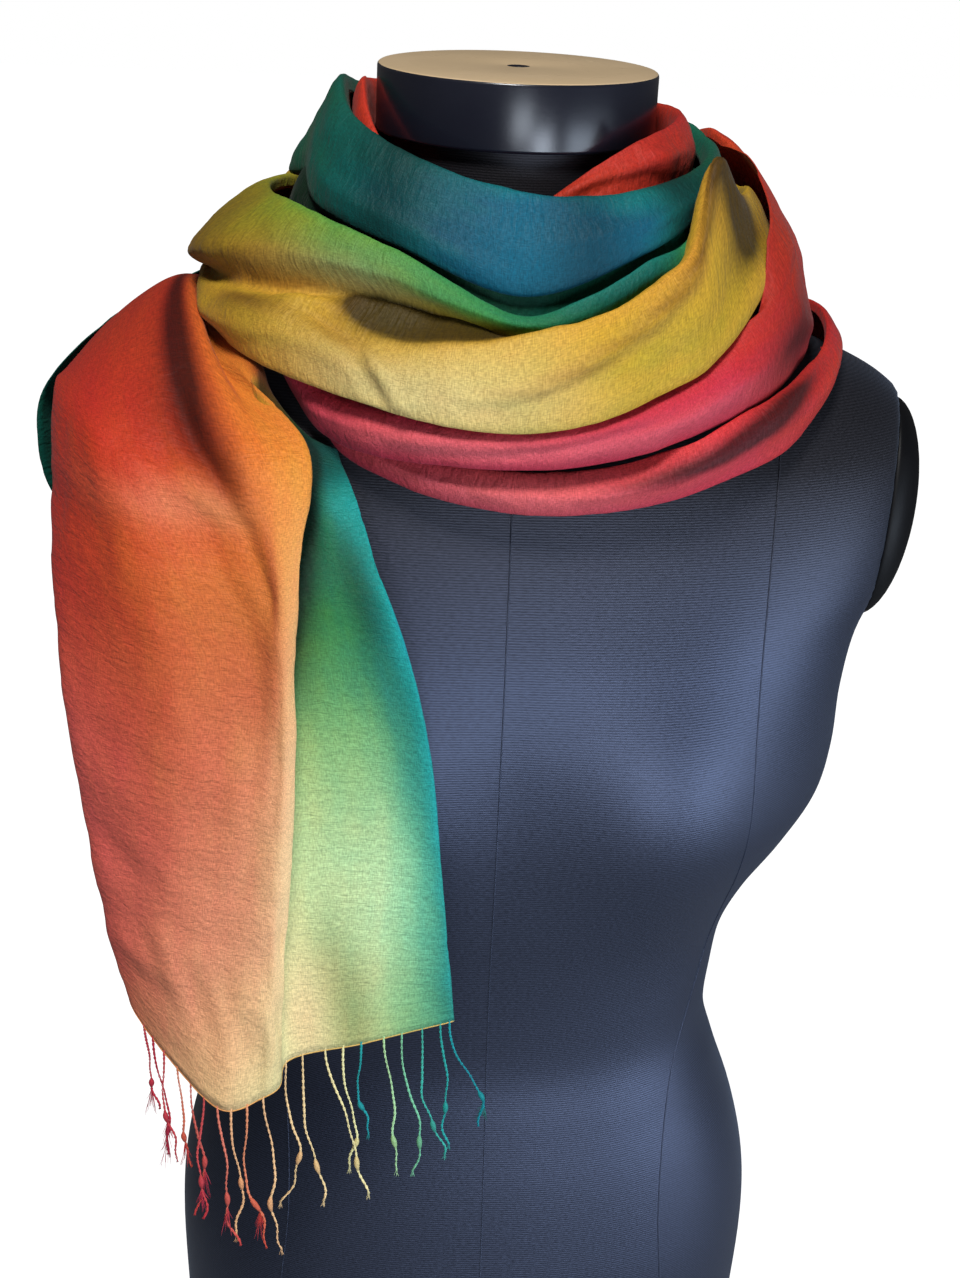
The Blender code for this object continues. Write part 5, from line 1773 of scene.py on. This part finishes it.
def add_hem_and_fringe(side, edge, hem_paint, cords, roots, deep):
    """The rolled hem of an end along its lower edge, and the cords that hang from it."""
    threads = bpy.context.scene.shawl_fringe
    yarn = fringe_material(bpy.context.scene.shawl_cloth)
    hem = YarnBundle()
    hem.add(edge, HEM_RADIUS, HEM_SIDES, *hem_paint)
    rolled = hem.build(side + "_hem", yarn)
    settle(rolled, "shawl_cloth")
    bundle = YarnBundle()
    strand, knot = threads.strand_radius / MM, threads.knot_radius / MM
    for number, (cord, root) in enumerate(zip(cords, roots)):
        add_cord(bundle, root, cord, number, strand, knot, deep)
    fringe = bundle.build(side + "_fringe_cords", yarn)
    settle(fringe, "fringe_yarn", "fringe_" + side)
    return [rolled, fringe]


class SHAWL_OT_turns(bpy.types.Operator):
    """Build the turns of the shawl round the neck"""

    bl_idname = "shawl.turns"
    bl_label = "Turns round the neck"

    def execute(self, context):
        settings = context.scene.shawl_cloth
        material = shawl_material(settings)
        for plan in TURN_PLANS:
            add_turn(plan, settings, material)
        return {"FINISHED"}


class SHAWL_OT_front_end(bpy.types.Operator):
    """Build the end that hangs in front, with its hem and fringe"""

    bl_idname = "shawl.front_end"
    bl_label = "Front end"

    def execute(self, context):
        settings = context.scene.shawl_cloth
        grid, rows_down, places = front_end_sheet()
        smooth = grid.copy()
        below = np.interp(rows_down, *END_FREE_ROWS)[:, None]
        creased = np.interp(places, *FRONT_CREASED_PLACES)[None, :] * below
        grid = add_creases(grid, FRONT_CREASES, creased)
        grid = add_crumple(grid, CRUMPLE_SIZE, settings.crumple / MM, FRONT_CRUMPLE)
        loose = np.interp(places, *FRONT_LOOSE_PLACES)[None, :] * below
        grid = smooth + (grid - smooth) * loose[..., None]
        paint = front_paint(rows_down, places)
        material = shawl_material(settings)
        sheet, flat = cloth_sheet("shawl_front_end_cloth", grid, material, paint, settings.wall)
        settle(sheet, "shawl_cloth", "shawl_front_end")

        edge = grid[-1]
        hem_dye = np.linspace(*FRONT_HEM_DYE, len(edge))
        front_edge = edge[sum(END_GAP_STEPS[:1]) : sum(END_GAP_STEPS[:6])]
        right_edge = edge[sum(END_GAP_STEPS[:7]) : sum(END_GAP_STEPS[:9]) + 1]
        roots = []
        for cord in FRONT_CORDS:
            line = front_edge if cord.x < front_edge[-1, 0] else right_edge
            roots.append([np.interp(cord.x, line[:, 0], line[:, axis]) for axis in range(3)])
        made = add_hem_and_fringe("front", edge, (hem_dye, 0.25, 0.0), FRONT_CORDS, roots, 0.0)
        return {"FINISHED"}


class SHAWL_OT_back_end(bpy.types.Operator):
    """Build the end that hangs behind, with its hem and fringe"""

    bl_idname = "shawl.back_end"
    bl_label = "Back end"

    def execute(self, context):
        settings = context.scene.shawl_cloth
        grid, rows_down, places = back_end_sheet()
        smooth = grid.copy()
        grid = add_crumple(grid, CRUMPLE_SIZE, settings.crumple / MM, BACK_CRUMPLE)
        below = np.interp(rows_down, *END_FREE_ROWS)
        grid = smooth + (grid - smooth) * below[:, None, None]
        paint = {}
        for key, table in (("dye", BACK_DYE), ("pale", BACK_PALE), ("deep", BACK_DEEP)):
            paint[key] = np.interp(rows_down, *table)[:, None] + 0 * places[None, :]
        paint["dye"] = paint["dye"] - BACK_DYE_ACROSS * places[None, :] / places.max()
        material = shawl_material(settings)
        sheet, flat = cloth_sheet("shawl_back_end_cloth", grid, material, paint, settings.wall)
        settle(sheet, "shawl_cloth", "shawl_back_end")

        edge = grid[-1]
        run = lengths_along(edge)
        cords, roots = [], []
        for number in range(BACK_CORDS):
            place = run[-1] * (number + 0.5) / BACK_CORDS
            roots.append([np.interp(place, run, edge[:, axis]) for axis in range(3)])
            drop = BACK_CORD_DROP * (1 + BACK_DROP_SPREAD * math.sin(3.1 * number))
            side = BACK_CORD_SIDE * math.sin(2.4 * number)
            curl = BACK_CORD_CURL * (-1) ** number
            cords.append(Cord(0, drop, side, curl, 0.7, 0, 0.76, 0.3, 0))
        made = add_hem_and_fringe("back", edge, (BACK_HEM_DYE, 0.2, 0.1), cords, roots, 0.2)
        return {"FINISHED"}


def studio_material(colour, glow):
    """A pale floor that is lit up to the camera, so that it stays white all over."""
    material, tree, shader = new_material("studio_floor")
    place = add_node(tree, "ShaderNodeTexCoord").outputs["Object"]
    grain = add_noise(tree, place, 4.0, 3.0)
    light = add_range(tree, grain, *FLOOR_GRAIN_SPAN, FLOOR_GRAIN_LIGHT, 1.0)
    shaded = add_mix(tree, 1.0, (*colour, 1.0), add_grey(tree, light), "MULTIPLY")
    tree.links.new(shaded, shader.inputs["Base Color"])
    shader.inputs["Roughness"].default_value = 0.9
    seen = add_node(tree, "ShaderNodeLightPath").outputs["Is Camera Ray"]
    shader.inputs["Emission Color"].default_value = (1.0, 1.0, 1.0, 1.0)
    tree.links.new(add_maths(tree, "MULTIPLY", seen, glow), shader.inputs["Emission Strength"])
    return material


def add_lamp(lamp, power):
    """A soft square light that faces its target."""
    light = bpy.data.lights.new(lamp.name, "AREA")
    light.shape = "SQUARE"
    light.size = lamp.size
    light.energy = power
    light.color = lamp.colour
    thing = bpy.data.objects.new(lamp.name, light)
    thing.location = lamp.place
    heading = Vector(lamp.target) - Vector(lamp.place)
    thing.rotation_euler = heading.to_track_quat("-Z", "Y").to_euler()
    bpy.context.scene.collection.objects.link(thing)


class SHAWL_OT_studio(bpy.types.Operator):
    """Build the floor, the lights and the camera"""

    bl_idname = "shawl.studio"
    bl_label = "Studio"

    def execute(self, context):
        settings = context.scene.shawl_studio
        deselect_all()
        bpy.ops.mesh.primitive_plane_add(size=FLOOR_SIZE, location=(0, 0, -FLOOR_DROP))
        floor = context.object
        floor.name = "studio_floor"
        bpy.ops.object.transform_apply(location=True, rotation=True, scale=True)
        floor.data.materials.append(studio_material(settings.floor, settings.floor_glow))

        world = context.scene.world or bpy.data.worlds.new("studio")
        context.scene.world = world
        world.use_nodes = True
        sky = world.node_tree.nodes["Background"]
        sky.inputs["Color"].default_value = (1.0, 1.0, 1.0, 1.0)
        seen = add_node(world.node_tree, "ShaderNodeLightPath").outputs["Is Camera Ray"]
        strength = add_range(world.node_tree, seen, 0.0, 1.0, settings.world_light, 1.0)
        world.node_tree.links.new(strength, sky.inputs["Strength"])
        for lamp in LAMPS:
            add_lamp(lamp, getattr(settings, lamp.name + "_power"))
        context.scene.view_settings.view_transform = "Standard"

        back = Vector((
            math.sin(CAMERA_TURN) * math.cos(CAMERA_TILT),
            -math.cos(CAMERA_TURN) * math.cos(CAMERA_TILT),
            math.sin(CAMERA_TILT),
        ))
        level = (-back).cross(Vector((0, 0, 1))).normalized()
        upright = level.cross(-back)
        right = level * math.cos(CAMERA_ROLL) - upright * math.sin(CAMERA_ROLL)
        up = level * math.sin(CAMERA_ROLL) + upright * math.cos(CAMERA_ROLL)
        place = Vector((
            math.sin(CAMERA_TURN) * CAMERA_DISTANCE,
            -math.cos(CAMERA_TURN) * CAMERA_DISTANCE,
            CAMERA_HEIGHT,
        ))
        place += level * CAMERA_SHIFT
        lens = bpy.data.cameras.new("camera")
        lens.sensor_width = SENSOR_WIDTH
        lens.lens = LENS
        lens.clip_start = 0.01
        camera = bpy.data.objects.new("camera", lens)
        turn = Matrix((right, up, back)).transposed().to_4x4()
        camera.matrix_world = Matrix.Translation(place) @ turn
        context.scene.collection.objects.link(camera)
        context.scene.camera = camera
        return {"FINISHED"}


class SHAWL_PT_sidebar(bpy.types.Panel):
    """Lists the pieces and their settings"""

    bl_idname = "SHAWL_PT_sidebar"
    bl_label = "Fringed shawl"
    bl_space_type = "VIEW_3D"
    bl_region_type = "UI"
    bl_category = "Shawl"

    def draw(self, context):
        scene = context.scene
        for name in SETTINGS:
            settings = getattr(scene, name)
            box = self.layout.box()
            for key in settings.bl_rna.properties.keys():
                if key not in ("rna_type", "name"):
                    box.prop(settings, key)
        for operator in OPERATORS:
            self.layout.operator(operator.bl_idname)


OPERATORS = (
    SHAWL_OT_dress_form,
    SHAWL_OT_neck_cap,
    SHAWL_OT_arm_plates,
    SHAWL_OT_turns,
    SHAWL_OT_front_end,
    SHAWL_OT_back_end,
    SHAWL_OT_studio,
)
SETTINGS = {
    "shawl_form": FormSettings,
    "shawl_cloth": ShawlSettings,
    "shawl_fringe": FringeSettings,
    "shawl_studio": StudioSettings,
}


def register():
    for group in SETTINGS.values():
        bpy.utils.register_class(group)
    for name, group in SETTINGS.items():
        setattr(bpy.types.Scene, name, bpy.props.PointerProperty(type=group))
    for operator in OPERATORS:
        bpy.utils.register_class(operator)
    bpy.utils.register_class(SHAWL_PT_sidebar)


def unregister():
    bpy.utils.unregister_class(SHAWL_PT_sidebar)
    for operator in reversed(OPERATORS):
        bpy.utils.unregister_class(operator)
    for name in SETTINGS:
        delattr(bpy.types.Scene, name)
    for group in reversed(SETTINGS.values()):
        bpy.utils.unregister_class(group)


def main():
    register()
    dyed_yarn_group()
    worn_finish_group()
    bpy.ops.shawl.dress_form()
    bpy.ops.shawl.neck_cap()
    bpy.ops.shawl.arm_plates()
    bpy.ops.shawl.turns()
    bpy.ops.shawl.front_end()
    bpy.ops.shawl.back_end()
    bpy.ops.shawl.studio()


if __name__ == "__main__":
    main()
